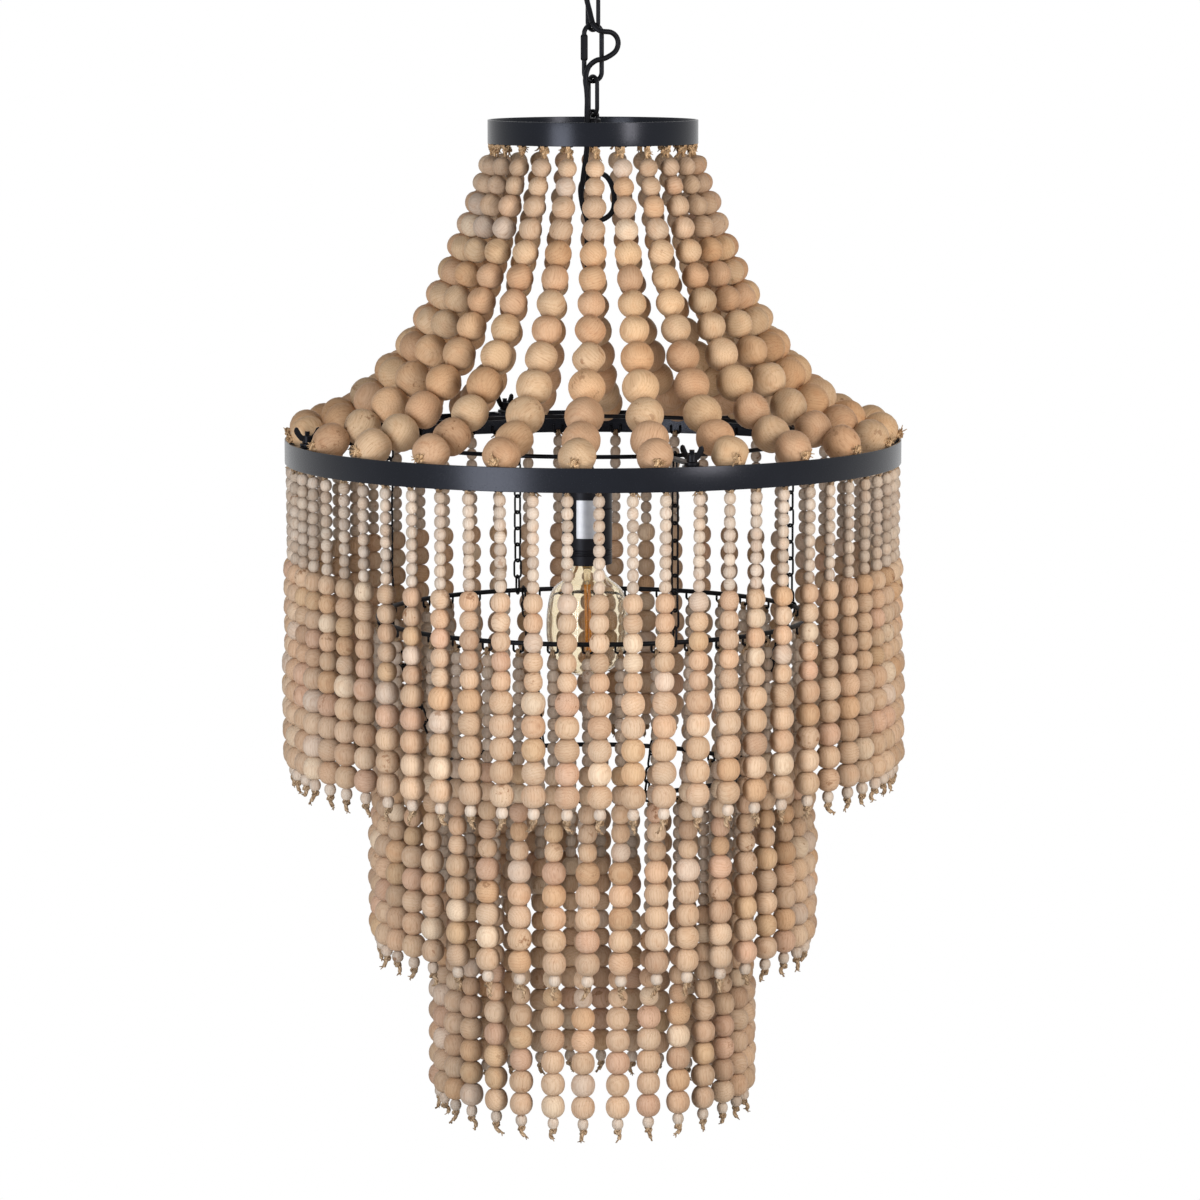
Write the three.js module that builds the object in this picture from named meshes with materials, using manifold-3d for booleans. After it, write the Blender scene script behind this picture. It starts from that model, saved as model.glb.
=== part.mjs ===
// A chandelier of wooden beads on two flat hoops, hung by a short chain from a ceiling hook.
// Millimetres, +Z up. The origin is on the ceiling, over the chain. Angles are in degrees,
// start at the front (-Y) and grow towards +X.

import * as THREE from 'three';
import { mergeVertices } from 'three/addons/utils/BufferGeometryUtils.js';
import Module from 'manifold-3d';

const wasm = await Module();
wasm.setup();

// Driving dimensions
const band_diameter = 580;
const crown_diameter = 197;
const canopy_drop = 298.1;
const hook_reach = 74.9;
const seat_gap = 0.3;
const turned_seat_gap = 0.9;
const overrun = 2;

// Flat hoops: the crown at the top and the wide band below it
const crown_height = 22;
const crown_wall = 2;
const band_height = 22;
const band_wall = 2;

// Chain, quick link and flex
const hook_wire = 5;
const hook_bowl_radius = 9;
const link_wire = 4;
const link_length = 40;
const link_width = 18;
const hook_turn = -20;
const upper_link_turn = -45;
const quick_link_turn = 10;
const lower_link_turn = -56;
const link_arc_steps = 6;
const quick_wire = 4.5;
const quick_length = 57;
const quick_width = 21;
const sleeve_diameter = 8;
const sleeve_length = 24;
const sleeve_rise = 5;
const flex_diameter = 5;

// Ceiling fixing
const plate_radius = 38;
const plate_thickness = 3;
const plate_screw_radius = 2.6;
const plate_screw_circle = 28;
const rose_radius = 55;
const rose_height = 38;
const rose_floor_radius = 34;
const rose_wall = 2;
const rose_flex_hole_radius = 6.6;
const rose_flex_x = -16;
const collar_radius = 8;
const collar_height = 6;

// Hub, cross bar and cord clip
const eye_wire = 3.4;
const eye_radius = 5.2;
const eye_sink = 1.5;
const hub_radius = 7.35;
const hub_height = 7.7;
const hub_shank_radius = 3;
const shank_clearance = 0.4;
const shank_tip = 1;
const nut_width = 11;
const nut_height = 4;
const bar_width = 10;
const bar_thickness = 3;
const bar_depth = 6.6;
const bar_angle = 19.5;
const clip_thickness = 1.5;
const clip_rim = 2.6;
const clip_flex_x = -5.5;
const clip_flex_y = -9;
const flex_split = 0.4;

// Beads and twine
const twine = 3;
const lacing_height = 2.4;
const lacing_width = 3;
const knot = 6;
const tail = 6;
const largest_bead = 35;
const canopy_bead_shares = [0.515, 0.53, 0.63, 0.63, 0.714, 0.714, 0.743, 0.8, 0.886, 0.971, 1, 1, 0.971];
const canopy_strands = 24;
const canopy_first_angle = 1.5;
const canopy_last_angle = -3;
const canopy_top_twine = 19.2;
const canopy_end_twine = 20.9;
const canopy_end_rise = 6.2;
const knot_overhang = 1;
const small_bead = 11.2;
const medium_bead = 18;
const large_bead = 22.5;
const small_count = 8;
const hung_small_count = 9;
const medium_count = 5;
const large_count = 5;
const small_spacing_share = 0.985;
const medium_spacing_share = 0.978;
const large_spacing_share = 0.933;
const waist_share = 0.4;
const column_share = 1.12;

// Tiers of strands
const tier_1_strands = 60;
const tier_1_first_angle = 1.3;
const tier_1_inset = 4;
const tier_1_groups = 6;
const tier_1_gap = 2.5;
const tier_2_strands = 40;
const tier_2_first_angle = -1.5;
const tier_2_diameter = 406.5;
const tier_3_strands = 30;
const tier_3_first_angle = -3;
const tier_3_diameter = 292;
const tier_wire = 4.5;
const tier_twine = 12.6;
const tier_2_drop = 170.5;
const tier_3_drop = 147;

// Thin hoop that spreads the wide band, with its arms, tabs, studs and wing nuts
const spreader_diameter = 406;
const spreader_wire = 4;
const arm_angle = 18.5;
const arm_count = 4;
const arm_width = 7;
const arm_thickness = 2.5;
const arm_end_radius = 7;
const stud_inset = 10;
const stud_radius = 2.5;
const stud_length = 14;
const stud_clearance = 0.4;
const tab_depth = 17;
const tab_width = 16;
const tab_thickness = 2;
const wing_nut_radius = 5;
const wing_nut_height = 7;
const wing_reach = 12.5;
const wing_rise = 15;
const wing_root_rise = 1;
const wing_thickness = 3;
const wing_nut_turns = [-35, 60, 50, 5];

// Small chains between the hoops
const chain_wire = 2.2;
const chain_pitch = 16;
const chain_inner_width = 5.4;
const chain_contact = 0.15;
const tier_2_chain_angle = 21.5;
const tier_3_chain_angle = 19.8;
const chain_count = 4;

// Lampholder and globe bulb
const lamp_drop = 324.1;
const holder_radius = 23.5;
const holder_length = 81;
const holder_wall = 2;
const cap_length = 28;
const cap_top_radius = 14;
const grip_height = 16;
const grip_top_radius = 5;
const grip_base_radius = 9;
const insert_length = 46;
const socket_radius = 14.4;
const socket_depth = 30;
const bulb_cap_radius = 13.2;
const bulb_cap_length = 25;
const bulb_tip_radius = 4.8;
const bulb_tip_height = 2.6;
const bulb_seat = 1.4;
const bulb_outline = [
  [13, 0],
  [14, 4.5],
  [18.8, 14.5],
  [32.8, 27],
  [37.5, 45.5],
  [38.5, 60.5],
  [37.6, 76.5],
  [31.4, 95.3],
  [21, 103.8],
  [0, 110.3],
];
const glass_wall = 1;
const stem_radius = 4;
const stem_length = 22;
const filament_radius = 3;
const filament_length = 65;

// Facets round each kind of piece
const band_facets = 60;
const crown_facets = 32;
const spreader_facets = 32;
const tier_2_facets = 40;
const tier_3_facets = 30;
const wire_sides = 4;
const round_facets = 12;
const small_facets = 8;
const rose_facets = 18;
const bead_sides = 4;
const column_sides = 3;
const merged_beads = 4;

const radians = THREE.MathUtils.degToRad;
const half = (size) => size / 2;

// Materials, as the photograph shows them
const finishes = {
  black_metal: { color: 0x1e1f22, roughness: 0.45, metalness: 0.6 },
  wood: { color: 0xcfae88, roughness: 0.75, metalness: 0 },
  flex: { color: 0x141414, roughness: 0.6, metalness: 0 },
  black_plastic: { color: 0x18181a, roughness: 0.5, metalness: 0 },
  ceramic: { color: 0xe8e4da, roughness: 0.4, metalness: 0 },
  brass: { color: 0xc9a45c, roughness: 0.3, metalness: 1 },
  zinc: { color: 0x9a9a98, roughness: 0.4, metalness: 0.9 },
  amber_glass: { color: 0xf2d9a6, roughness: 0.05, metalness: 0, transparent: true, opacity: 0.35 },
  filament: { color: 0xffb45a, roughness: 0.5, metalness: 0 },
};

const chandelier = new THREE.Group();

function add(name, geometry, finish) {
  const mesh = new THREE.Mesh(geometry, new THREE.MeshStandardMaterial(finishes[finish]));
  mesh.name = name;
  chandelier.add(mesh);
}

// Directions on a circle round the chandelier's axis
function outward(angle) {
  return new THREE.Vector3(Math.sin(radians(angle)), -Math.cos(radians(angle)), 0);
}

function sideways(angle) {
  return new THREE.Vector3(Math.cos(radians(angle)), Math.sin(radians(angle)), 0);
}

function at(angle, radius, z) {
  return outward(angle).multiplyScalar(radius).setZ(z);
}

// How far the flats of a faceted circle lie from its centre
function flat_radius(radius, facets) {
  return radius * Math.cos(Math.PI / facets);
}

// Where the centreline of a faceted wire hoop lies at an angle; its corners start at +X
function hoop_radius(radius, facets, angle) {
  const step = 360 / facets;
  const from_corner = (((angle - 90) % step) + step) % step;
  return flat_radius(radius, facets) / Math.cos(radians(from_corner - half(step)));
}

// Position only, shared vertices merged, no flat triangles, faces turned outwards
function tidy(geometry) {
  const bare = new THREE.BufferGeometry();
  bare.setAttribute('position', geometry.getAttribute('position').clone());
  if (geometry.index) bare.setIndex(geometry.index.clone());
  const merged = mergeVertices(bare, 1e-4);
  const corners = merged.index.array;
  const points = merged.getAttribute('position');
  const kept = [];
  let volume = 0;
  const a = new THREE.Vector3();
  const b = new THREE.Vector3();
  const c = new THREE.Vector3();
  for (let i = 0; i < corners.length; i += 3) {
    const [p, q, r] = [corners[i], corners[i + 1], corners[i + 2]];
    if (p === q || q === r || r === p) continue;
    kept.push(p, q, r);
    a.fromBufferAttribute(points, p);
    b.fromBufferAttribute(points, q);
    c.fromBufferAttribute(points, r);
    volume += a.dot(b.cross(c));
  }
  if (volume < 0) kept.reverse();
  merged.setIndex(kept);
  return merged;
}

function to_solid(geometry) {
  const clean = tidy(geometry);
  return new wasm.Manifold(new wasm.Mesh({
    numProp: 3,
    vertProperties: new Float32Array(clean.getAttribute('position').array),
    triVerts: new Uint32Array(clean.index.array),
  }));
}

function from_solid(solid) {
  const mesh = solid.getMesh();
  const geometry = new THREE.BufferGeometry();
  geometry.setAttribute('position', new THREE.BufferAttribute(mesh.vertProperties, 3));
  geometry.setIndex(new THREE.BufferAttribute(mesh.triVerts, 1));
  return geometry;
}

function joined(...geometries) {
  return from_solid(geometries.map(to_solid).reduce((whole, piece) => whole.add(piece)));
}

function cut(geometry, ...tools) {
  return from_solid(tools.map(to_solid).reduce((whole, tool) => whole.subtract(tool), to_solid(geometry)));
}

// A profile of [radius, height] points turned round the Z axis
function turned(profile, facets) {
  const points = profile.map(([radius, height]) => new THREE.Vector2(radius, height));
  return tidy(new THREE.LatheGeometry(points, facets).rotateX(Math.PI / 2));
}

function ring_profile(inner, outer, low, high) {
  return [[inner, low], [outer, low], [outer, high], [inner, high], [inner, low]];
}

// A round bore keeps its clearance on its flats
function bore(radius, clearance, facets) {
  return (radius + clearance) / Math.cos(Math.PI / facets);
}

function rod(radius, low, high, facets) {
  return turned([[0, low], [radius, low], [radius, high], [0, high]], facets);
}

function polygon(radius, sides, turn = 0) {
  const points = [];
  for (let i = 0; i < sides; i += 1) {
    const angle = radians(turn) + (i * 2 * Math.PI) / sides;
    points.push(new THREE.Vector2(radius * Math.cos(angle), radius * Math.sin(angle)));
  }
  return points;
}

function plate(shape, low, thickness) {
  return tidy(new THREE.ExtrudeGeometry(shape, { depth: thickness, bevelEnabled: false })
    .translate(0, 0, low));
}

// A solid cord or wire along a smooth curve through chosen points
function swept(points, diameter, sides, steps) {
  const path = new THREE.CatmullRomCurve3(points.map(([x, y, z]) => new THREE.Vector3(x, y, z)));
  const section = new THREE.Shape(polygon(half(diameter), sides));
  return tidy(new THREE.ExtrudeGeometry(section, { steps, extrudePath: path, bevelEnabled: false }));
}

// A skin of triangles built from rings of points
class Skin {
  constructor() {
    this.points = [];
    this.faces = [];
  }

  ring(points) {
    const first = this.points.length;
    this.points.push(...points);
    return points.map((point, i) => first + i);
  }

  // A band of triangles between two rings, which may have different numbers of points
  join(upper, lower) {
    let i = 0;
    let j = 0;
    while (i < upper.length || j < lower.length) {
      const here = upper[i % upper.length];
      const below = lower[j % lower.length];
      const upper_first = (i + 1) / upper.length <= (j + 1) / lower.length;
      if (j >= lower.length || (i < upper.length && upper_first)) {
        this.faces.push(here, below, upper[(i + 1) % upper.length]);
        i += 1;
      } else {
        this.faces.push(here, below, lower[(j + 1) % lower.length]);
        j += 1;
      }
    }
  }

  // The flat side between two neighbouring sections along their edge from one corner to the next
  side(section, next, corner) {
    const other = (corner + 1) % section.length;
    this.faces.push(section[corner], next[corner], section[other]);
    this.faces.push(section[other], next[corner], next[other]);
  }

  start_cap(ring) {
    for (let i = 1; i + 1 < ring.length; i += 1) this.faces.push(ring[0], ring[i], ring[i + 1]);
  }

  end_cap(ring) {
    for (let i = 1; i + 1 < ring.length; i += 1) this.faces.push(ring[0], ring[i + 1], ring[i]);
  }

  tip(ring, point) {
    const [end] = this.ring([point]);
    ring.forEach((corner, i) => this.faces.push(ring[(i + 1) % ring.length], corner, end));
  }

  // A short neck between two open quads that face each other
  bridge(open, other) {
    const upper = [...open].reverse();
    const distance = (shift) => upper.reduce((sum, corner, i) => sum
      + this.points[corner].distanceTo(this.points[other[(i + shift) % other.length]]), 0);
    const shifts = other.map((corner, i) => i);
    const best = shifts.reduce((a, b) => (distance(b) < distance(a) ? b : a));
    this.join(upper, other.map((corner, i) => other[(i + best) % other.length]));
  }

  geometry() {
    const flat = this.points.flatMap((point) => [point.x, point.y, point.z]);
    const geometry = new THREE.BufferGeometry();
    geometry.setAttribute('position', new THREE.Float32BufferAttribute(flat, 3));
    geometry.setIndex(this.faces);
    return tidy(geometry);
  }
}

// Heights down the chain, each from the piece that it hangs on
const hook_z = -hook_reach;
const upper_top_z = hook_z + half(hook_wire) + turned_seat_gap + half(link_wire);
const upper_bottom_z = upper_top_z - (link_length - link_wire);
const quick_top_z = upper_bottom_z + half(link_wire) + turned_seat_gap + half(quick_wire);
const quick_bottom_z = quick_top_z - (quick_length - quick_wire);
const lower_top_z = quick_bottom_z + half(quick_wire) + seat_gap + half(link_wire);
const lower_bottom_z = lower_top_z - (link_length - link_wire);
const eye_z = lower_bottom_z + half(link_wire) + seat_gap + half(eye_wire) - eye_radius;
const hub_top_z = eye_z - eye_sink;
const hub_bottom_z = hub_top_z - hub_height;
const bar_top_z = hub_bottom_z - seat_gap;
const bar_bottom_z = bar_top_z - bar_thickness;
const clip_top_z = bar_bottom_z - seat_gap;
const clip_bottom_z = clip_top_z - clip_thickness;
const nut_top_z = clip_bottom_z - seat_gap;
const crown_top_z = bar_top_z + bar_depth;
const crown_bottom_z = crown_top_z - crown_height;
const band_z = crown_top_z - half(crown_height) - canopy_drop;
const band_top_z = band_z + half(band_height);
const band_bottom_z = band_z - half(band_height);
const arm_bottom_z = band_top_z + seat_gap;
const spreader_z = arm_bottom_z + half(arm_thickness);
const tier_2_z = spreader_z - tier_2_drop;
const tier_3_z = tier_2_z - tier_3_drop;
const holder_top_z = clip_bottom_z - lamp_drop;
const crown_inner = half(crown_diameter) - crown_wall;
const band_inner = half(band_diameter) - band_wall;

// Ceiling plate, hook, rose and collar
function ceiling_fixing() {
  const screws = [0, 180].map((angle) => rod(plate_screw_radius, -plate_thickness - overrun, overrun, small_facets)
    .translate(...at(angle + bar_angle, plate_screw_circle, 0).toArray()));
  add('ceiling_plate', cut(rod(plate_radius, -plate_thickness, 0, round_facets), ...screws), 'zinc');

  const bowl = [];
  const bowl_z = hook_z + hook_bowl_radius;
  for (let turn = -100; turn <= 100; turn += 25) {
    const rise = hook_bowl_radius * Math.cos(radians(turn));
    bowl.push([0, -hook_bowl_radius * Math.sin(radians(turn)), bowl_z - rise]);
  }
  const shank_z = bowl_z + hook_bowl_radius;
  const shank = [
    [0, -half(hook_bowl_radius), shank_z - half(hook_wire)],
    [0, 0, shank_z + hook_wire],
    [0, 0, shank_z + 2 * hook_wire],
    [0, 0, half(shank_z + hook_wire - plate_thickness)],
    [0, 0, -plate_thickness - seat_gap],
  ];
  const hook = swept([...bowl, ...shank], hook_wire, 6, 20);
  add('ceiling_hook', hook.rotateZ(radians(hook_turn)), 'black_metal');

  const floor_z = -rose_height;
  const hole = bore(half(hook_wire), seat_gap, rose_facets);
  const shoulder = half(rose_radius + rose_floor_radius) + rose_wall;
  const outside = [[hole, floor_z], [rose_floor_radius, floor_z], [shoulder, -half(rose_height)], [rose_radius, 0]];
  const inside = [
    [rose_radius - rose_wall, 0],
    [shoulder - rose_wall, -half(rose_height)],
    [rose_floor_radius - rose_wall, floor_z + rose_wall],
    [hole, floor_z + rose_wall],
  ];
  const cup = turned([...outside, ...inside, outside[0]], rose_facets);
  const flex_hole = rod(rose_flex_hole_radius, floor_z - overrun, floor_z + rose_wall + overrun, small_facets)
    .translate(rose_flex_x, 0, 0);
  add('ceiling_rose', cut(cup, flex_hole), 'black_metal');

  const collar_top = floor_z - seat_gap;
  const collar_bore = bore(half(hook_wire), seat_gap, small_facets);
  add('rose_collar', turned(ring_profile(collar_bore, collar_radius, collar_top - collar_height, collar_top),
    small_facets), 'black_metal');
}

// A closed loop of round wire in one plane: outline points run round the wire's centreline
function wire_loop(outline, wire, sides, centre, across, along) {
  const normal = new THREE.Vector3().crossVectors(across, along);
  const skin = new Skin();
  const count = outline.length;
  const rings = outline.map(([x, y], i) => {
    const before = outline[(i + count - 1) % count];
    const after = outline[(i + 1) % count];
    const run = new THREE.Vector2(after[0] - before[0], after[1] - before[1]).normalize();
    const out = new THREE.Vector3().addScaledVector(across, run.y).addScaledVector(along, -run.x);
    const middle = centre.clone().addScaledVector(across, x).addScaledVector(along, y);
    return skin.ring(polygon(half(wire), sides).map((corner) => middle.clone()
      .addScaledVector(out, corner.x).addScaledVector(normal, corner.y)));
  });
  rings.forEach((ring, i) => skin.join(ring, rings[(i + 1) % count]));
  return skin.geometry();
}

// Centreline of a chain link: two half circles with straight sides
function link_outline(length, width, wire, arc_steps) {
  const bend = half(width - wire);
  const straight = half(length - width);
  const points = [];
  [1, -1].forEach((end) => {
    for (let i = 0; i <= arc_steps; i += 1) {
      const angle = (Math.PI * i) / arc_steps;
      points.push([end * bend * Math.cos(angle), end * (straight + bend * Math.sin(angle))]);
    }
  });
  return points;
}

const up = new THREE.Vector3(0, 0, 1);

function chain_and_quick_link() {
  const link = link_outline(link_length, link_width, link_wire, link_arc_steps);
  const hang = (top, length, wire) => new THREE.Vector3(0, 0, top - half(length - wire));
  add('upper_link', wire_loop(link, link_wire, 6, hang(upper_top_z, link_length, link_wire),
    sideways(upper_link_turn), up), 'black_metal');
  add('lower_link', wire_loop(link, link_wire, 6, hang(lower_top_z, link_length, link_wire),
    sideways(lower_link_turn), up), 'black_metal');

  const quick_middle = hang(quick_top_z, quick_length, quick_wire);
  const quick = link_outline(quick_length, quick_width, quick_wire, link_arc_steps);
  add('quick_link', wire_loop(quick, quick_wire, 6, quick_middle, sideways(quick_link_turn), up), 'black_metal');
  const sleeve_bore = bore(half(quick_wire), seat_gap, small_facets);
  const sleeve_middle = sideways(quick_link_turn).multiplyScalar(-half(quick_width - quick_wire));
  const sleeve = ring_profile(sleeve_bore, half(sleeve_diameter), -half(sleeve_length), half(sleeve_length));
  add('quick_link_sleeve', turned(sleeve, small_facets)
    .translate(sleeve_middle.x, sleeve_middle.y, quick_middle.z + sleeve_rise), 'black_metal');
}

// The flex's stretches, as points chosen by hand
const flex_top_route = [
  [-16, 0, -12],
  [-16, 0, -25],
  [-15.6, 0, -38],
  [-12.4, -0.1, -50],
  [-8.4, -0.3, -62],
  [-6.9, -0.4, -69],
  [-6.3, -0.5, -73.4],
];
const flex_mid_route = [
  [-6.2, -0.52, -74],
  [-5.8, -0.9, -77],
  [-4.6, -1.8, -82],
  [-3, -3.6, -88],
  [-1.6, -5.8, -94],
  [-0.4, -7.5, -98.4],
];
const flex_main_route = [
  [-0.24, -7.74, -98.98],
  [0.6, -8.5, -100.9],
  [3.4, -9.5, -104.1],
  [7.8, -9.8, -106.3],
  [17.2, -7.4, -107.6],
  [21.8, -5.4, -111.5],
  [23.5, -4.4, -117.7],
  [21.1, -4.7, -124.8],
  [11.8, -6.8, -131.2],
  [2.6, -7.3, -133.7],
  [-4, -6.6, -139.6],
  [-6.9, -8.5, -151],
  [-5.9, -8.4, -160],
  [-5.3, -8.4, -170],
  [-5.5, -9.1, -181],
  [-5.5, -9, -192],
  [-5.5, -9, -202.8],
];
const flex_loop_route = [
  [-5.5, -9, -203.2],
  [-5.5, -9, -210],
  [-6.4, -9, -222],
  [-9.2, -8.8, -243],
  [-10.7, -9.4, -261.7],
  [-4.4, -9.8, -277.8],
  [7.6, -7.5, -281.6],
  [18.3, -5, -273.6],
  [18.7, -3.7, -252.5],
  [11.4, -0.8, -240.4],
  [0.4, 1, -238.6],
  [-10.6, 2.1, -248.5],
  [-9.9, -1.4, -267.6],
  [-5.3, -4.6, -282.8],
  [-5.6, -8.2, -298],
  [-5.5, -9, -306],
  [-5.5, -9, -312.8],
];

function flex() {
  const run = (name, route, steps) => add(name, swept(route, flex_diameter, 8, steps), 'flex');
  run('flex_top', flex_top_route, 6);
  run('flex_mid', flex_mid_route, 5);
  run('flex_main', flex_main_route, 16);
  run('flex_loop', flex_loop_route, 20);
  const drop_top_z = flex_loop_route[flex_loop_route.length - 1][2] - flex_split;
  run('flex_drop', [
    [clip_flex_x, clip_flex_y, drop_top_z],
    [clip_flex_x, clip_flex_y, half(drop_top_z + holder_top_z)],
    [clip_flex_x, clip_flex_y, holder_top_z + seat_gap],
  ], 8);
}

// Hub with its eye, cross bar, nut, cord clip and the crown hoop
function crown() {
  const shank_end = nut_top_z - nut_height - shank_tip;
  const hub = turned([
    [0, shank_end],
    [hub_shank_radius, shank_end],
    [hub_shank_radius, hub_bottom_z],
    [hub_radius, hub_bottom_z],
    [hub_radius, hub_top_z],
    [0, hub_top_z],
  ], round_facets);
  const eye = wire_loop(polygon(eye_radius, 8, 90).map((point) => [point.x, point.y]), eye_wire, 6,
    new THREE.Vector3(0, 0, eye_z), sideways(lower_link_turn + 90), up);
  add('hub_eye', joined(hub, eye), 'black_metal');

  const bar_half = Math.sqrt(flat_radius(crown_inner, crown_facets) ** 2 - half(bar_width) ** 2) - seat_gap;
  const shank_hole = bore(hub_shank_radius, shank_clearance, small_facets);
  const bar = new THREE.Shape([
    new THREE.Vector2(-half(bar_width), -bar_half),
    new THREE.Vector2(half(bar_width), -bar_half),
    new THREE.Vector2(half(bar_width), bar_half),
    new THREE.Vector2(-half(bar_width), bar_half),
  ]);
  bar.holes.push(new THREE.Path(polygon(shank_hole, small_facets)));
  add('top_cross_bar', plate(bar, bar_bottom_z, bar_thickness).rotateZ(radians(bar_angle)), 'black_metal');

  const reach = Math.hypot(clip_flex_x, clip_flex_y);
  const flex_hole = bore(half(flex_diameter), seat_gap, small_facets);
  const clip = new THREE.Shape();
  clip.absarc(0, 0, shank_hole + clip_rim, Math.PI / 2, -Math.PI / 2, false);
  clip.absarc(reach, 0, flex_hole + clip_rim, -Math.PI / 2, Math.PI / 2, false);
  clip.holes.push(new THREE.Path(polygon(shank_hole, small_facets)));
  clip.holes.push(new THREE.Path(polygon(flex_hole, small_facets)
    .map((point) => point.add(new THREE.Vector2(reach, 0)))));
  const clip_body = new THREE.ExtrudeGeometry(clip, { depth: clip_thickness, bevelEnabled: false, curveSegments: 5 });
  clip_body.translate(0, 0, clip_bottom_z).rotateZ(Math.atan2(clip_flex_y, clip_flex_x));
  add('cord_clip', tidy(clip_body), 'black_metal');

  const nut = new THREE.Shape(polygon(half(nut_width) / Math.cos(Math.PI / 6), 6));
  nut.holes.push(new THREE.Path(polygon(bore(hub_shank_radius, seat_gap, 6), 6)));
  const nut_body = plate(nut, nut_top_z - nut_height, nut_height);
  add('hub_nut', nut_body.rotateZ(Math.atan2(clip_flex_y, clip_flex_x)), 'black_metal');

  const hoop = ring_profile(crown_inner, half(crown_diameter), crown_bottom_z, crown_top_z);
  add('top_hoop', turned(hoop, crown_facets), 'black_metal');
}

// One station of a strand: a ring of points square to the way that the strand runs there
function strand_ring(angle, station, sides) {
  const out = outward(angle).multiplyScalar(-station.down).setZ(station.away);
  const side = sideways(angle);
  const middle = at(angle, station.radius, station.z);
  const points = [];
  for (let i = 0; i < sides; i += 1) {
    const turn = (-2 * Math.PI * i) / sides;
    points.push(middle.clone().addScaledVector(out, station.size * Math.cos(turn))
      .addScaledVector(side, station.size * Math.sin(turn)));
  }
  return points;
}

// Strands that hang side by side from one lacing twine, all one body. The lacing has three
// corners: its top, its outer and its inner edge. Each strand grows out of its underside.
function laced_strands(angles, lacing, stations, sides, tip_station) {
  const skin = new Skin();
  const spread = (half(twine) / lacing.radius) * (180 / Math.PI);
  const section = (angle) => skin.ring([
    at(angle, lacing.radius, lacing.top),
    at(angle, lacing.radius + half(lacing_width), lacing.top - lacing_height),
    at(angle, lacing.radius - half(lacing_width), lacing.top - lacing_height),
  ]);
  let last = null;
  angles.forEach((angle) => {
    const left = section(angle - spread);
    const right = section(angle + spread);
    if (last) [0, 1, 2].forEach((corner) => skin.side(last, left, corner));
    else skin.start_cap(left);
    [0, 2].forEach((corner) => skin.side(left, right, corner));
    let above = [left[1], left[2], right[2], right[1]];
    stations.forEach((station) => {
      const here = skin.ring(strand_ring(angle + station.drift, station, sides));
      skin.join(above, here);
      above = here;
    });
    skin.tip(above, at(angle + tip_station.drift, tip_station.radius, tip_station.z));
    last = right;
  });
  skin.end_cap(last);
  return skin.geometry();
}

// Strand angles in groups that part at the given angles, so that something can pass between them
function grouped(count, first_angle, parting_angle, groups) {
  const lists = Array.from({ length: groups }, () => []);
  for (let i = 0; i < count; i += 1) {
    const past = (((first_angle + (i * 360) / count - parting_angle) % 360) + 360) % 360;
    lists[Math.floor((past * groups) / 360)].push(past + parting_angle);
  }
  return lists.map((list) => list.sort((a, b) => a - b));
}

// The canopy strands hang in a catenary whose lowest point lies over the band's edge
function catenary(width, height) {
  let low = width / 20;
  let high = width * 20;
  for (let i = 0; i < 60; i += 1) {
    const middle = half(low + high);
    if (middle * (Math.cosh(width / middle) - 1) > height) low = middle;
    else high = middle;
  }
  return half(low + high);
}

function canopy() {
  const lacing_radius = flat_radius(crown_inner, crown_facets) - seat_gap - half(lacing_width);
  const lacing = { radius: lacing_radius, top: crown_bottom_z + lacing_height };
  const end_radius = half(band_diameter) + knot_overhang;
  const end_z = band_top_z + canopy_end_rise;
  const start_radius = lacing_radius - half(lacing_width);
  const start_z = crown_bottom_z - half(lacing_width);
  const curve = catenary(end_radius - start_radius, start_z - end_z);
  const length = curve * Math.sinh((end_radius - start_radius) / curve);
  const diameters = canopy_bead_shares.map((share) => share * largest_bead);
  const pitches = diameters.slice(1).map((size, i) => half(size + diameters[i]));
  const run = length - canopy_top_twine - canopy_end_twine;
  const stretch = run / pitches.reduce((sum, pitch) => sum + pitch, 0);

  // Measured back from the catenary's lowest point; drift is the strand's slight twist
  const station = (back, size) => {
    const hang = Math.hypot(curve, back);
    return {
      radius: end_radius - curve * Math.asinh(back / curve),
      z: end_z - curve + hang,
      down: -back / hang,
      away: curve / hang,
      drift: (canopy_last_angle - canopy_first_angle) * (1 - back / length),
      size,
    };
  };
  const places = [length - canopy_top_twine];
  pitches.forEach((pitch) => places.push(places[places.length - 1] - pitch * stretch));
  const stations = [];
  places.forEach((place, i) => {
    const merged = i > 0 && i < merged_beads - 1;
    if (merged) return;
    if (i >= merged_beads) {
      const waist = half(place + places[i - 1]);
      stations.push(station(waist, waist_share * half(diameters[i - 1])));
    }
    stations.push(station(place, half(diameters[i])));
  });
  const knot_place = half(largest_bead) * waist_share;
  stations.push(station(canopy_end_twine - half(diameters[diameters.length - 1]), half(twine)));
  const knot_station = station(half(knot_place), half(knot));
  knot_station.z = band_top_z + seat_gap + half(knot);
  stations.push(knot_station);
  const end = station(0, 0);
  end.radius += half(tail);
  const lists = grouped(canopy_strands, canopy_first_angle, arm_angle + half(tail), 4);
  lists.forEach((angles, i) => {
    add(`canopy_strands_${i + 1}`, laced_strands(angles, lacing, stations, bead_sides, end), 'wood');
  });
}

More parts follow.
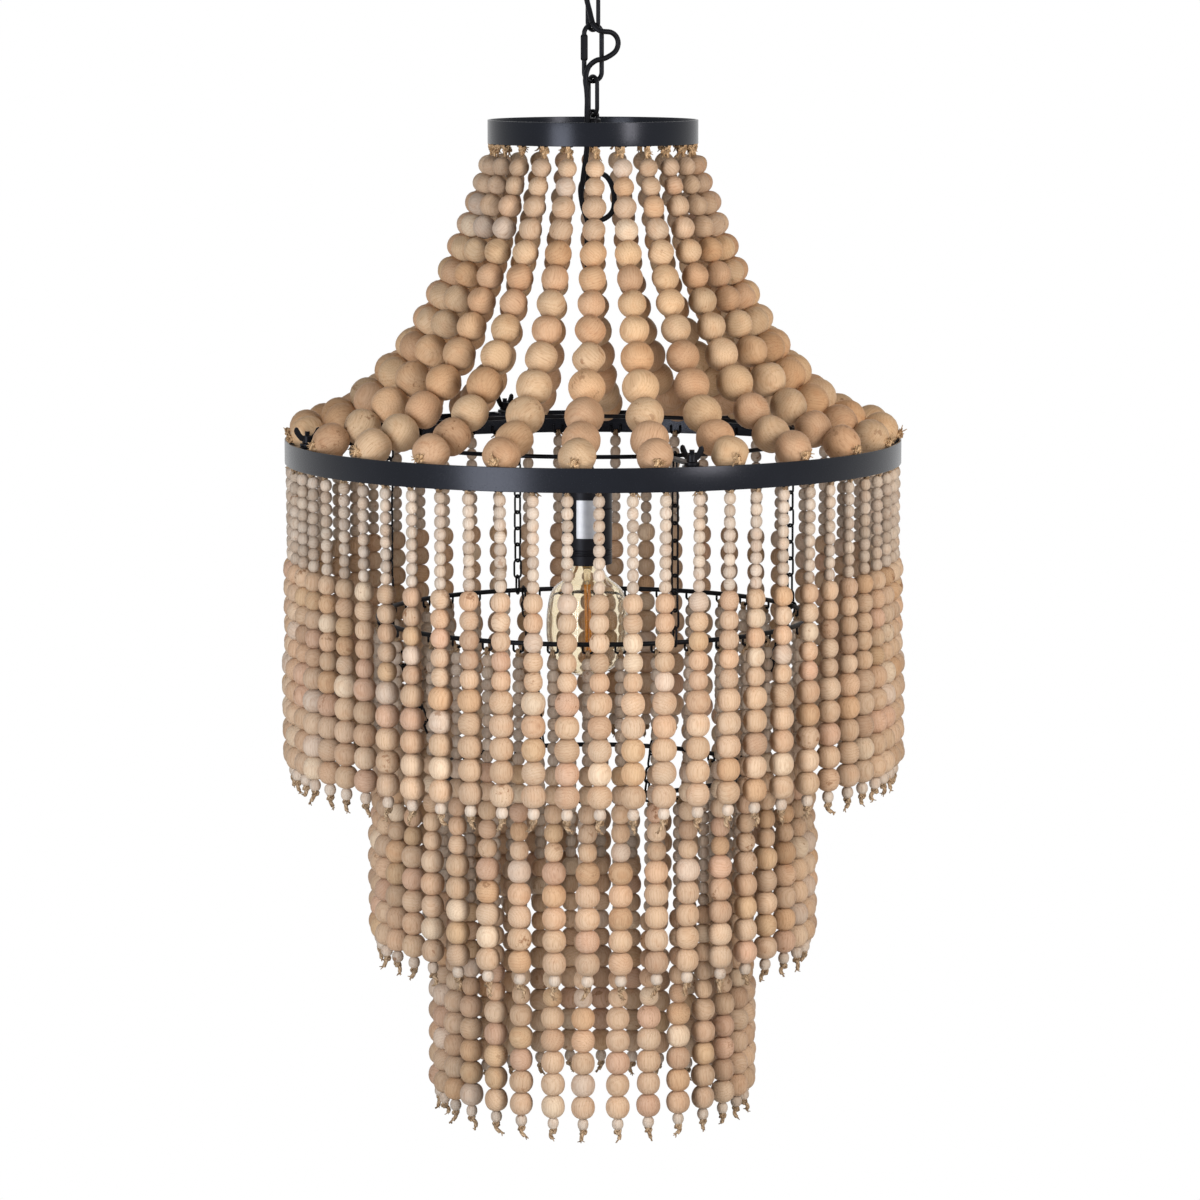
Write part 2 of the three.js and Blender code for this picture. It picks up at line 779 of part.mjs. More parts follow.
// One tier strand, from its first bead's top down: columns of the three bead sizes, end bead, knot
function tier_stations(radius, top, count) {
  const small_run = small_bead * (1 + (count - 1) * small_spacing_share);
  const medium_run = medium_bead * medium_count * medium_spacing_share;
  const large_run = large_bead * large_count * large_spacing_share;
  const straight = { radius, down: -1, away: 0, drift: 0 };
  const column = (diameter) => half(diameter) * column_share;
  const medium_top = top - small_run - half(small_bead - small_bead * small_spacing_share);
  const large_bottom = medium_top - medium_run - large_run;
  const end_middle = large_bottom - half(small_bead);
  const tip_z = end_middle - half(small_bead) - knot - tail - half(knot);
  return {
    list: [
      { ...straight, z: top - small_bead * (1 - column_share / 2) * half(1), size: column(small_bead) },
      { ...straight, z: medium_top, size: column(small_bead) },
      { ...straight, z: medium_top - half(small_bead), size: column(medium_bead) },
      { ...straight, z: large_bottom + half(small_bead), size: column(large_bead) },
      { ...straight, z: end_middle, size: column(small_bead) },
    ],
    tip: { ...straight, z: tip_z },
  };
}

function tier(name, lists, lacing, radius, top, count) {
  const { list, tip } = tier_stations(radius, top, count);
  lists.forEach((angles, i) => {
    add(`${name}_strands_${i + 1}`, laced_strands(angles, lacing, list, column_sides, tip), 'wood');
  });
}

// The wide band with the tabs and studs welded inside it
function wide_band() {
  const pieces = [turned(ring_profile(band_inner, half(band_diameter), band_bottom_z, band_top_z), band_facets)];
  const stud_circle = band_inner - stud_inset;
  for (let i = 0; i < arm_count; i += 1) {
    const angle = arm_angle + (i * 360) / arm_count;
    const tab_middle = at(angle, band_inner + half(band_wall) - half(tab_depth), band_top_z - half(tab_thickness));
    const tab = new THREE.BoxGeometry(tab_width, tab_depth, tab_thickness);
    pieces.push(tab.rotateZ(radians(angle)).translate(...tab_middle.toArray()));
    const stud = rod(stud_radius, band_top_z - half(tab_thickness), band_top_z + stud_length, 6);
    pieces.push(stud.translate(...at(angle, stud_circle, 0).toArray()));
  }
  add('big_hoop', joined(...pieces), 'black_metal');
}

// The thin hoop with four flat arms that lie on the tabs
function spreader() {
  const stud_circle = band_inner - stud_inset;
  const hoop = new THREE.TorusGeometry(half(spreader_diameter), half(spreader_wire), wire_sides, spreader_facets);
  const pieces = [hoop.translate(0, 0, spreader_z)];
  for (let i = 0; i < arm_count; i += 1) {
    const angle = arm_angle + (i * 360) / arm_count;
    const outline = new THREE.Shape();
    outline.moveTo(-half(arm_width), -half(spreader_diameter));
    outline.lineTo(-half(arm_width), -stud_circle);
    polygon(arm_end_radius, 8).filter((point) => point.y < half(stud_radius))
      .sort((a, b) => a.x - b.x)
      .forEach((point) => outline.lineTo(point.x, point.y - stud_circle));
    outline.lineTo(half(arm_width), -stud_circle + arm_end_radius);
    outline.lineTo(half(arm_width), -half(spreader_diameter));
    outline.holes.push(new THREE.Path(polygon(bore(stud_radius, stud_clearance, small_facets), small_facets)
      .map((point) => point.add(new THREE.Vector2(0, -stud_circle)))));
    pieces.push(plate(outline, arm_bottom_z, arm_thickness).rotateZ(radians(angle)));
  }
  add('inner_hoop', joined(...pieces), 'black_metal');
}

function wing_nuts() {
  const stud_circle = band_inner - stud_inset;
  const seat_z = arm_bottom_z + arm_thickness + seat_gap;
  const nut_bore = bore(stud_radius, seat_gap, small_facets);
  const body = turned(ring_profile(nut_bore, wing_nut_radius, 0, wing_nut_height), small_facets);
  const wings = [1, -1].map((side) => {
    const outline = new THREE.Shape([
      new THREE.Vector2(side * (nut_bore + half(seat_gap)), wing_root_rise),
      new THREE.Vector2(side * half(wing_reach + wing_nut_radius), wing_root_rise + half(wing_nut_height)),
      new THREE.Vector2(side * wing_reach, wing_rise - wing_thickness),
      new THREE.Vector2(side * (wing_reach - wing_thickness), wing_rise),
      new THREE.Vector2(side * (nut_bore + half(seat_gap)), wing_nut_height),
    ]);
    return new THREE.ExtrudeGeometry(outline, { depth: wing_thickness, bevelEnabled: false })
      .translate(0, 0, -half(wing_thickness)).rotateX(Math.PI / 2);
  });
  const nut = joined(body, ...wings);
  for (let i = 0; i < arm_count; i += 1) {
    const angle = arm_angle + (i * 360) / arm_count;
    const place = at(angle, stud_circle, seat_z);
    add(`wing_nut_${i + 1}`, nut.clone().rotateZ(radians(wing_nut_turns[i]))
      .translate(...place.toArray()), 'black_metal');
  }
}

// A chain of open links between two wires. Each link bears on the next one at a small neck.
// The first and the last link lie across the wires, so the number of links is odd.
function small_chain(start, end, start_wire, end_wire, angle) {
  const along = end.clone().sub(start);
  const distance = along.length();
  along.normalize();
  const tangent = sideways(angle);
  const radial = new THREE.Vector3().crossVectors(tangent, along);
  const span = distance + half(start_wire) + half(end_wire) + 2 * seat_gap;
  const links = 2 * Math.round(half(span / chain_pitch - 1)) + 1;
  const inner = (span + (links - 1) * chain_contact) / links;
  const skin = new Skin();
  let open = null;
  for (let i = 0; i < links; i += 1) {
    const [across, normal] = i % 2 === 0 ? [radial, tangent] : [tangent, radial];
    const top = -half(start_wire) - seat_gap + i * (inner - chain_contact);
    const corners = [[-1, 0], [1, 0], [1, 1], [-1, 1]].map(([side, end_share]) => {
      const place = start.clone().addScaledVector(along, top + inner * end_share)
        .addScaledVector(across, side * half(chain_inner_width));
      return skin.ring([
        place.clone().addScaledVector(normal, half(chain_wire)),
        place.clone().addScaledVector(normal, -half(chain_wire)),
        place.clone().addScaledVector(across, side * chain_wire)
          .addScaledVector(along, (2 * end_share - 1) * chain_wire),
      ]);
    });
    const mirrored = i % 2 === 1;
    corners.forEach((corner, k) => {
      const next = corners[(k + 1) % 4];
      const [from, to] = mirrored ? [next, corner] : [corner, next];
      [1, 2].forEach((edge) => skin.side(from, to, edge));
      const bears = (k === 0 && i > 0) || (k === 2 && i < links - 1);
      if (!bears) skin.side(from, to, 0);
    });
    const rim = (k) => {
      const [from, to] = mirrored ? [corners[(k + 1) % 4], corners[k]] : [corners[k], corners[(k + 1) % 4]];
      return [from[0], to[0], to[1], from[1]];
    };
    if (open) skin.bridge(open, rim(0));
    open = rim(2);
  }
  return skin.geometry();
}

function small_chains() {
  for (let i = 0; i < chain_count; i += 1) {
    const angle = tier_2_chain_angle + (i * 360) / chain_count;
    const from = at(angle, hoop_radius(half(spreader_diameter), spreader_facets, angle), spreader_z);
    const to = at(angle, hoop_radius(half(tier_2_diameter), tier_2_facets, angle), tier_2_z);
    add(`tier_2_chain_${i + 1}`, small_chain(from, to, spreader_wire, tier_wire, angle), 'black_metal');
  }
  for (let i = 0; i < chain_count; i += 1) {
    const angle = tier_3_chain_angle + (i * 360) / chain_count;
    const from = at(angle, hoop_radius(half(tier_2_diameter), tier_2_facets, angle), tier_2_z);
    const to = at(angle, hoop_radius(half(tier_3_diameter), tier_3_facets, angle), tier_3_z);
    add(`tier_3_chain_${i + 1}`, small_chain(from, to, tier_wire, tier_wire, angle), 'black_metal');
  }
}

function tiers() {
  const tier_1_radius = half(band_diameter) - band_wall - tier_1_inset;
  const tier_1_lacing = {
    radius: flat_radius(band_inner, band_facets) - seat_gap - half(lacing_width),
    top: band_bottom_z + lacing_height,
  };
  const parting = tier_1_first_angle - 180 / tier_1_strands;
  tier('tier_1', grouped(tier_1_strands, tier_1_first_angle, parting, tier_1_groups),
    tier_1_lacing, tier_1_radius, band_bottom_z - tier_1_gap, small_count);

  const wire_hoop = (name, diameter, facets, z) => add(name,
    tidy(new THREE.TorusGeometry(half(diameter), half(tier_wire), wire_sides, facets).translate(0, 0, z)),
    'black_metal');
  const under_wire = (diameter, z) => ({ radius: half(diameter), top: z - half(tier_wire) - seat_gap });
  wire_hoop('tier_2_ring', tier_2_diameter, tier_2_facets, tier_2_z);
  tier('tier_2', grouped(tier_2_strands, tier_2_first_angle, tier_2_chain_angle, chain_count),
    under_wire(tier_2_diameter, tier_2_z), half(tier_2_diameter), tier_2_z - tier_twine,
    hung_small_count);
  wire_hoop('tier_3_ring', tier_3_diameter, tier_3_facets, tier_3_z);
  tier('tier_3', grouped(tier_3_strands, tier_3_first_angle, tier_3_chain_angle, chain_count),
    under_wire(tier_3_diameter, tier_3_z), half(tier_3_diameter), tier_3_z - tier_twine,
    hung_small_count);
}

// An outline of [radius, height] points, from the top down to the axis, drawn in by a wall
function inset(outline, wall) {
  return outline.map(([radius, height], i) => {
    const [above_radius, above] = outline[Math.max(i - 1, 0)];
    const [below_radius, below] = outline[Math.min(i + 1, outline.length - 1)];
    const run = Math.hypot(above_radius - below_radius, above - below);
    if (i === 0) return [radius - wall, height];
    if (i === outline.length - 1) return [0, height + wall];
    return [radius - (wall * (above - below)) / run, height - (wall * (below_radius - above_radius)) / run];
  });
}

// Lampholder and bulb, all round the flex's own axis
function lamp() {
  const hang = (geometry) => geometry.translate(clip_flex_x, clip_flex_y, holder_top_z);
  const flex_bore = bore(half(flex_diameter), seat_gap, round_facets);
  const grip = [
    [flex_bore, seat_gap],
    [grip_base_radius, seat_gap],
    [grip_top_radius, grip_height],
    [flex_bore, grip_height],
    [flex_bore, seat_gap],
  ];
  add('cord_grip', hang(turned(grip, round_facets)), 'black_plastic');

  const inner = holder_radius - holder_wall;
  const shoulder = half(holder_radius - cap_top_radius);
  const cap = [
    [flex_bore, 0],
    [cap_top_radius, 0],
    [holder_radius, -shoulder],
    [holder_radius, -cap_length],
    [inner, -cap_length],
    [inner, -shoulder - holder_wall],
    [flex_bore, -holder_wall],
    [flex_bore, 0],
  ];
  add('lampholder_cap', hang(turned(cap, round_facets)), 'black_plastic');

  const sleeve = ring_profile(inner, holder_radius, -holder_length, -cap_length - seat_gap);
  add('lampholder_sleeve', hang(turned(sleeve, round_facets)), 'black_plastic');

  const insert_radius = inner - seat_gap / Math.cos(Math.PI / round_facets);
  const insert_bottom = -holder_length + holder_wall;
  const insert_top = insert_bottom + insert_length;
  const socket = bore(socket_radius, 0, round_facets);
  const insert = [
    [0, insert_top],
    [insert_radius, insert_top],
    [insert_radius, insert_bottom],
    [socket, insert_bottom],
    [socket, insert_bottom + socket_depth],
    [0, insert_bottom + socket_depth],
  ];
  add('lampholder_insert', hang(turned(insert, round_facets)), 'ceramic');

  const tip_top = insert_bottom + socket_depth - seat_gap;
  const cap_top = tip_top - bulb_tip_height - bulb_seat;
  const cap_bottom = cap_top - bulb_cap_length;
  const screw_cap = [
    [0, tip_top],
    [bulb_tip_radius, tip_top],
    [bulb_tip_radius, tip_top - bulb_tip_height],
    [bulb_cap_radius, cap_top],
    [bulb_cap_radius, cap_bottom],
    [0, cap_bottom],
  ];
  add('bulb_cap', hang(turned(screw_cap, round_facets)), 'brass');

  const glass_top = cap_bottom - seat_gap;
  const skin = bulb_outline.map(([radius, depth]) => [radius, glass_top - depth]);
  const lining = inset(skin, glass_wall);
  const glass = [...skin.reverse(), ...lining];
  add('bulb_glass', hang(turned(glass, round_facets)), 'amber_glass');

  const stem_top = glass_top;
  const stem = [
    [0, stem_top],
    [bulb_outline[0][0] - glass_wall - overrun, stem_top],
    [stem_radius, stem_top - stem_radius],
    [stem_radius, stem_top - stem_length],
    [filament_radius, stem_top - stem_length],
    [filament_radius, stem_top - stem_length - filament_length],
    [0, stem_top - stem_length - filament_length],
  ];
  add('bulb_filament', hang(turned(stem, 6)), 'filament');
}

ceiling_fixing();
chain_and_quick_link();
flex();
crown();
canopy();
wide_band();
spreader();
wing_nuts();
small_chains();
tiers();
lamp();

export default chandelier;
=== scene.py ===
# The looks of a chandelier of turned wooden beads: jute strings of beads on black hoops, a
# short chain with its flex, and a globe lamp in the middle. Metres, +Z up. Angles start at
# the front (-Y) and grow towards +X.

import random
from math import asinh, cos, cosh, degrees, hypot, pi, radians, sin, sinh, sqrt

import bpy
import numpy as np
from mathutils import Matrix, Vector


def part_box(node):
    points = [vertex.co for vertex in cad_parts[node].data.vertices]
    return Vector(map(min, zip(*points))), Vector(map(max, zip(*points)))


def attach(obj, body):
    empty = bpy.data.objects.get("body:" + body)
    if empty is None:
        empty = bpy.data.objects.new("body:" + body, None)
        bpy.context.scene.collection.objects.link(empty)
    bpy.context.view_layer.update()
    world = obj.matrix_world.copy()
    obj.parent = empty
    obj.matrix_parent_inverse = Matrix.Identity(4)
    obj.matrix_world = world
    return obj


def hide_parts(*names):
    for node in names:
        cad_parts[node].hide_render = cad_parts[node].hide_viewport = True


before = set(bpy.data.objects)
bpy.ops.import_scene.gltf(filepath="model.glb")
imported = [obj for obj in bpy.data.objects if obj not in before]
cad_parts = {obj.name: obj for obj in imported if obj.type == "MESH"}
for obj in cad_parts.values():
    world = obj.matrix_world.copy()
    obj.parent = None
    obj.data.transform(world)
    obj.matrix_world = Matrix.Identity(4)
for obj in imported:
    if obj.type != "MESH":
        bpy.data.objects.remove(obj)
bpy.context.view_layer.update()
dice = random.Random(11)
MM = 0.001
UP = Vector((0, 0, 1))


def half(size):
    return size / 2


def middle_of(node):
    low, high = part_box(node)
    return half(low + high)


def outward(angle):
    turn = radians(angle)
    return Vector((sin(turn), -cos(turn), 0))


def sideways(angle):
    turn = radians(angle)
    return Vector((cos(turn), sin(turn), 0))


def at(angle, radius, z, aside=0):
    """A place or a direction: outward at an angle, upward, and sideways from there."""
    return outward(angle) * radius + UP * z + sideways(angle) * aside


# Sizes that several pieces share
wall = 2 * MM
flex_diameter = 5 * MM
tier_wire = 4.5 * MM
eye_wire = 2.3 * MM
spreader_wire, spreader_radius = 4 * MM, 203 * MM
arm_count, arm_angle = 4, 18.5
lower_link_turn = -56
chain_angles = {"tier_2": 21.5, "tier_3": 19.8}


def wire_ring(node):
    """The radius of a tier ring's centreline, and its height."""
    low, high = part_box(node)
    return half(high.x - low.x) - half(tier_wire), half(low.z + high.z)


# Heights and radii, read from the frame
crown_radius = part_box("top_hoop")[1].x
crown_low, crown_high = (corner.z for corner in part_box("top_hoop"))
band_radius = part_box("big_hoop")[1].x
band_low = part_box("big_hoop")[0].z
band_high = band_low + 22 * MM
band_z = half(band_low + band_high)
spreader_z = middle_of("inner_hoop").z
ring_2_radius, ring_2_z = wire_ring("tier_2_ring")
ring_3_radius, ring_3_z = wire_ring("tier_3_ring")
lamp_axis = middle_of("lampholder_cap")


# Node materials

def srgb(colour):
    channels = [int(colour[i:i + 2], 16) / 255 for i in (1, 3, 5)]
    return [c / 12.92 if c <= 0.04045 else ((c + 0.055) / 1.055) ** 2.4 for c in channels] + [1]


def add_node(tree, kind, settings=None, links=None):
    """Adds a node. Settings go by socket or property, links by socket with their source."""
    node = tree.nodes.new(kind)
    for key, value in (settings or {}).items():
        if isinstance(key, str) and hasattr(node, key):
            setattr(node, key, value)
        else:
            node.inputs[key].default_value = value
    for key, source in (links or {}).items():
        tree.links.new(source, node.inputs[key])
    return node


def new_material(name, shader_settings):
    material = bpy.data.materials.new(name)
    material.use_nodes = True
    tree = material.node_tree
    tree.nodes.clear()
    shader = add_node(tree, "ShaderNodeBsdfPrincipled", shader_settings)
    add_node(tree, "ShaderNodeOutputMaterial", links={"Surface": shader.outputs["BSDF"]})
    return material, tree, shader


def tinted(tree, below, factor, above, blend="MIX", strength=1.0):
    """Lays one colour over another by a factor. A colour is a hex code or a socket."""
    share = add_node(tree, "ShaderNodeMath", {"operation": "MULTIPLY", 1: strength}, {0: factor})
    mix = add_node(tree, "ShaderNodeMix", {"data_type": "RGBA", "blend_type": blend},
                   {"Factor": share.outputs[0]})
    for slot, colour in ((6, below), (7, above)):
        if isinstance(colour, str):
            mix.inputs[slot].default_value = srgb(colour)
        else:
            tree.links.new(colour, mix.inputs[slot])
    return mix.outputs[2]


def ramp(tree, source, low, high):
    """A factor that climbs from 0 to 1 while the source climbs from low to high."""
    node = add_node(tree, "ShaderNodeMapRange",
                    {"From Min": low, "From Max": high, "clamp": True}, {"Value": source})
    return node.outputs["Result"]


def own_space(tree):
    return add_node(tree, "ShaderNodeTexCoord").outputs["Object"]


def noise(tree, width, space=None, detail=2, roughness=0.5):
    """Noise whose blots are about one width across, in the object's own space if none is given."""
    node = add_node(tree, "ShaderNodeTexNoise",
                    {"Scale": 1 / width, "Detail": detail, "Roughness": roughness},
                    {"Vector": space or own_space(tree)})
    return node.outputs["Fac"]


def stretched(tree, space, factors):
    node = add_node(tree, "ShaderNodeVectorMath", {"operation": "MULTIPLY", 1: factors}, {0: space})
    return node.outputs[0]


def attribute(tree, name, kind):
    return add_node(tree, "ShaderNodeAttribute", {"attribute_name": name}).outputs[kind]


def roughened(tree, shader, source, low, high):
    rough = add_node(tree, "ShaderNodeMapRange", {"To Min": low, "To Max": high}, {"Value": source})
    tree.links.new(rough.outputs["Result"], shader.inputs["Roughness"])


def bumped(tree, shader, height, strength, distance):
    bump = add_node(tree, "ShaderNodeBump", {"Strength": strength, "Distance": distance},
                    {"Height": height})
    tree.links.new(bump.outputs["Normal"], shader.inputs["Normal"])


def bare_turned_wood():
    # Light hardwood turned on a lathe and left bare: matt, pale tan to pinkish, with growth
    # rings that run with the hole, short dark pores and now and then a stained patch.
    material, tree, shader = new_material("bare_turned_wood",
                                          {"IOR": 1.5, "Specular IOR Level": 0.2})
    # The grain's own space is in millimetres, with the tree's axis along Z.
    grain = attribute(tree, "grain", "Vector")
    ring_spacing, pore_width, pore_stretch, patch_width, stain_width = 2.6, 0.9, 0.07, 11, 8
    rings = add_node(tree, "ShaderNodeTexWave",
                     {"wave_type": "RINGS", "rings_direction": "Z", "Scale": 0.314 / ring_spacing,
                      "Distortion": 5, "Detail": 2, "Detail Scale": 0.25}, {"Vector": grain})
    pores = noise(tree, pore_width, stretched(tree, grain, (1, 1, pore_stretch)), 3, 0.6)
    patches = noise(tree, patch_width, grain)
    stains = noise(tree, stain_width, grain, 4, 0.6)
    stained = add_node(tree, "ShaderNodeMath", {"operation": "MULTIPLY"},
                       {0: ramp(tree, stains, 0.6, 0.64), 1: attribute(tree, "flaw", "Fac")})
    colour = attribute(tree, "tone", "Color")
    for factor, over, blend, strength in (
            (ramp(tree, rings.outputs["Fac"], 0.45, 1), "#cfae8a", "MULTIPLY", 0.16),
            (ramp(tree, pores, 0.5, 0.72), "#a37c58", "MULTIPLY", 0.42),
            (ramp(tree, patches, 0.48, 0.75), "#efd2ba", "MULTIPLY", 0.3),
            (stained.outputs[0], "#7d5739", "MIX", 0.75)):
        colour = tinted(tree, colour, factor, over, blend, strength)
    tree.links.new(colour, shader.inputs["Base Color"])
    roughened(tree, shader, pores, 0.5, 0.72)
    bumped(tree, shader, pores, 0.5, 0.12 * MM)
    return material


def twisted_jute(name, pale, dark):
    # Natural jute twine, laid from hairy plies: dull straw to brown, no gloss at all. The dark colour
    # along the grooves of the lay is painted shade.
    material, tree, shader = new_material(name, {"Roughness": 0.95, "Specular IOR Level": 0.15})
    lay = add_node(tree, "ShaderNodeMath", {"operation": "SINE"},
                   {0: attribute(tree, "run", "Fac")}).outputs[0]
    fibre_width, clump_width = 0.6 * MM, 5 * MM
    fibres, clumps = noise(tree, fibre_width), noise(tree, clump_width, detail=1)
    # Painted shade: the colour turns to the dark tone in the lay's grooves, where the relief below is
    # lowest.
    colour = tinted(tree, pale, ramp(tree, lay, 0.3, -1), dark, "MIX", 0.75)
    colour = tinted(tree, colour, ramp(tree, fibres, 0.45, 0.7), "#dccbad", "MIX", 0.35)
    colour = tinted(tree, colour, ramp(tree, clumps, 0.45, 0.65), "#9a7a54", "MULTIPLY", 0.5)
    tree.links.new(colour, shader.inputs["Base Color"])
    relief = add_node(tree, "ShaderNodeMath", {"operation": "ADD"}, {0: lay, 1: fibres})
    bumped(tree, shader, relief.outputs[0], 0.7, 0.3 * MM)
    return material


def black_finish(name, colour, worn, roughness, shine, grit, relief):
    """Black coatings differ in how coarse their skin is and how much they shine."""
    material, tree, shader = new_material(name, {"IOR": 1.5, "Specular IOR Level": shine,
                                                 "Specular Tint": srgb("#d3ddf6")})
    skin, cloud = noise(tree, grit), noise(tree, 40 * MM, detail=3)
    tint = tinted(tree, colour, ramp(tree, cloud, 0.35, 0.7), worn)
    tree.links.new(tint, shader.inputs["Base Color"])
    spread = 0.07
    roughened(tree, shader, skin, roughness - spread, roughness + spread)
    bumped(tree, shader, skin, 0.4, relief)
    return material


def mottled(name, settings, width, pale, dark, strength=1.0, span=(0, 1), relief=None):
    """A finish that wavers between two colours. Its surface can waver with them."""
    material, tree, shader = new_material(name, settings)
    waver = noise(tree, width)
    tint = tinted(tree, pale, ramp(tree, waver, *span), dark, "MIX", strength)
    tree.links.new(tint, shader.inputs["Base Color"])
    if relief:
        bumped(tree, shader, waver, *relief)
    return material


def zinc_plated_steel():
    # Pressed steel with a bright zinc skin: grey metal with a faint crystal spangle.
    material, tree, shader = new_material("zinc_plated_steel", {"Metallic": 1.0, "Roughness": 0.38})
    spangle = add_node(tree, "ShaderNodeTexVoronoi", {"Scale": 1 / (6 * MM)},
                       {"Vector": own_space(tree)})
    tint = tinted(tree, "#c3c5c6", spangle.outputs["Distance"], "#9a9c9e", "MIX", 0.8)
    tree.links.new(tint, shader.inputs["Base Color"])
    return material


def nickel_plated_cap():
    # Rolled thin brass with a nickel skin: pale warm metal, with dull streaks round the thread.
    material, tree, shader = new_material("nickel_plated_cap", {"Metallic": 1.0})
    dull = noise(tree, 5 * MM, stretched(tree, own_space(tree), (1, 1, 6)), 3)
    tint = tinted(tree, "#d8cdb4", dull, "#b59a68", "MIX", 0.5)
    tree.links.new(tint, shader.inputs["Base Color"])
    roughened(tree, shader, dull, 0.18, 0.42)
    return material


WOOD = bare_turned_wood()
# The second colour of each twine is painted shade for the grooves between its plies.
STRAW_JUTE = twisted_jute("fresh_jute_twine", "#d3b795", "#8f704f")
GREY_JUTE = twisted_jute("handled_jute_twine", "#b7a28a", "#6e5945")
# Powder coat baked on steel: satin black, with a fine orange-peel skin and a soft cool highlight
POWDER = black_finish("black_powder_coat", "#0b0c10", "#0f1116", 0.25, 0.25, 1.6 * MM, 0.015 * MM)
# Black zinc on drawn wire: a little rougher and duller than the coat
BLACK_WIRE = black_finish("black_zinc_wire", "#0f0f11", "#151517", 0.34, 0.13, 0.8 * MM, 0.02 * MM)
# Extruded black PVC: even, soft shine, hardly any texture
PVC = black_finish("black_pvc_sheath", "#0e0e10", "#131315", 0.42, 0.13, 0.9 * MM, 0.02 * MM)
# Moulded phenolic resin: near black, faintly pebbled by its mould
RESIN = black_finish("black_moulded_resin", "#0f0f12", "#151518", 0.36, 0.18, 1.2 * MM, 0.03 * MM)
ZINC = zinc_plated_steel()
NICKEL = nickel_plated_cap()
# Cream porcelain under a clear glaze: smooth and shiny, with slight pooling of the glaze
PORCELAIN = mottled("glazed_porcelain", {"IOR": 1.5, "Roughness": 0.18, "Coat Weight": 0.4},
                    8 * MM, "#efeae0", "#ded5c3", 0.7)
# Thin aluminium foil stuck on plastic: bright satin metal with soft creases
FOIL = mottled("blank_label_foil", {"Metallic": 1.0, "Roughness": 0.42},
               9 * MM, "#a8acb4", "#7f848d", 0.8, relief=(0.5, 0.3 * MM))
# Thin blown glass with a light amber stain: clear, with bright rims and slight waves
GLASS = mottled("amber_blown_glass", {"IOR": 1.45, "Roughness": 0.02, "Transmission Weight": 1.0},
                30 * MM, "#fffbf1", "#faecce", 0.9, relief=(0.15, 0.5 * MM))
# Sticks of light-emitting chips under an orange phosphor gel: grainy, waxy, not lit
PHOSPHOR = mottled("phosphor_filament", {"IOR": 1.45, "Roughness": 0.45, "Coat Weight": 0.3},
                   0.9 * MM, "#eba43e", "#c77526", span=(0.4, 0.65))


# Mesh shapes

def linked(name, data):
    item = bpy.data.objects.new(name, data)
    bpy.context.scene.collection.objects.link(item)
    return item


class Form:
    """Gathers the points and faces of one piece, with the fields that its material reads."""

    kinds = {"tone": ("FLOAT_COLOR", "color"), "grain": ("FLOAT_VECTOR", "vector"),
             "flaw": ("FLOAT", "value"), "run": ("FLOAT", "value")}

    def __init__(self):
        self.points = []
        self.faces = []
        self.fields = {}
        self.count = 0

    def add(self, points, faces, **fields):
        points = np.asarray(points, float)
        self.points.append(points)
        self.faces.extend([[self.count + corner for corner in face] for face in faces])
        self.count += len(points)
        for name, values in fields.items():
            values = np.broadcast_to(values, (len(points),) + np.shape(values)[1:])
            self.fields.setdefault(name, []).append(values)

    def item(self, name):
        mesh = bpy.data.meshes.new(name)
        mesh.from_pydata(np.concatenate(self.points).tolist(), [], self.faces)
        return linked(name, mesh)

    def piece(self, name, material, body, slot, *replaces, sharp=35):
        """Makes the piece and tells the frame its body and the nodes it replaces. Its slot is
        not used.
        """
        item = self.item(name)
        mesh = item.data
        for field, parts in self.fields.items():
            kind, key = self.kinds[field]
            values = np.concatenate(parts).astype(np.float32)
            mesh.attributes.new(field, kind, "POINT").data.foreach_set(key, values.ravel())
        mesh.shade_smooth()
        if sharp:
            mesh.set_sharp_from_angle(angle=radians(sharp))
        mesh.materials.append(material)
        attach(item, body)
        if replaces:
            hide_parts(*replaces)
        return item


def ring_faces(rows, count, capped=True):
    """The faces between neighbouring rings of points. The last ring is joined to the first, or
    else both get a flat cap."""
    faces = []
    for row in range(rows - capped):
        first, second = row * count, (row + 1) % rows * count
        faces += [(first + i, first + (i + 1) % count, second + (i + 1) % count, second + i)
                  for i in range(count)]
    if capped:
        faces.append(list(range(count))[::-1])
        faces.append([(rows - 1) * count + i for i in range(count)])
    return faces


def turned(form, profile, steps, centre=(0, 0, 0), hollow=False):
    """A profile of (radius, height) points turned about a vertical axis. A hollow profile closes
    on itself, and any other is closed by a flat cap at each end."""
    turns = np.arange(steps) * 2 * pi / steps
    points = []
    for radius, height in profile:
        points += [(radius * sin(t), -radius * cos(t), height) for t in turns]
    form.add(np.array(points) + np.array(centre), ring_faces(len(profile), steps, not hollow))


def turned_piece(name, material, body, slot, node, profile, steps, centre=(0, 0, 0), hollow=True,
                 sharp=35):
    """A piece that is one turned profile, in place of one node."""
    form = Form()
    turned(form, profile, steps, centre, hollow)
    return form.piece(name, material, body, slot, node, sharp=sharp)


def rounded(corners, radius, steps=3):
    """An outline with each corner rounded by a small arc."""
    result = []
    count = len(corners)
    for i, corner in enumerate(corners):
        corner = np.array(corner, float)
        before = np.array(corners[i - 1], float) - corner
        after = np.array(corners[(i + 1) % count], float) - corner
        reach = min(radius, 0.45 * np.linalg.norm(before), 0.45 * np.linalg.norm(after))
        start = corner + before / np.linalg.norm(before) * reach
        end = corner + after / np.linalg.norm(after) * reach
        for step in range(steps + 1):
            t = step / steps
            result.append(tuple((1 - t) ** 2 * start + 2 * t * (1 - t) * corner + t ** 2 * end))
    return result


def blend(t, start, end, a, b):
    return (end - t) / (end - start) * a + (t - start) / (end - start) * b


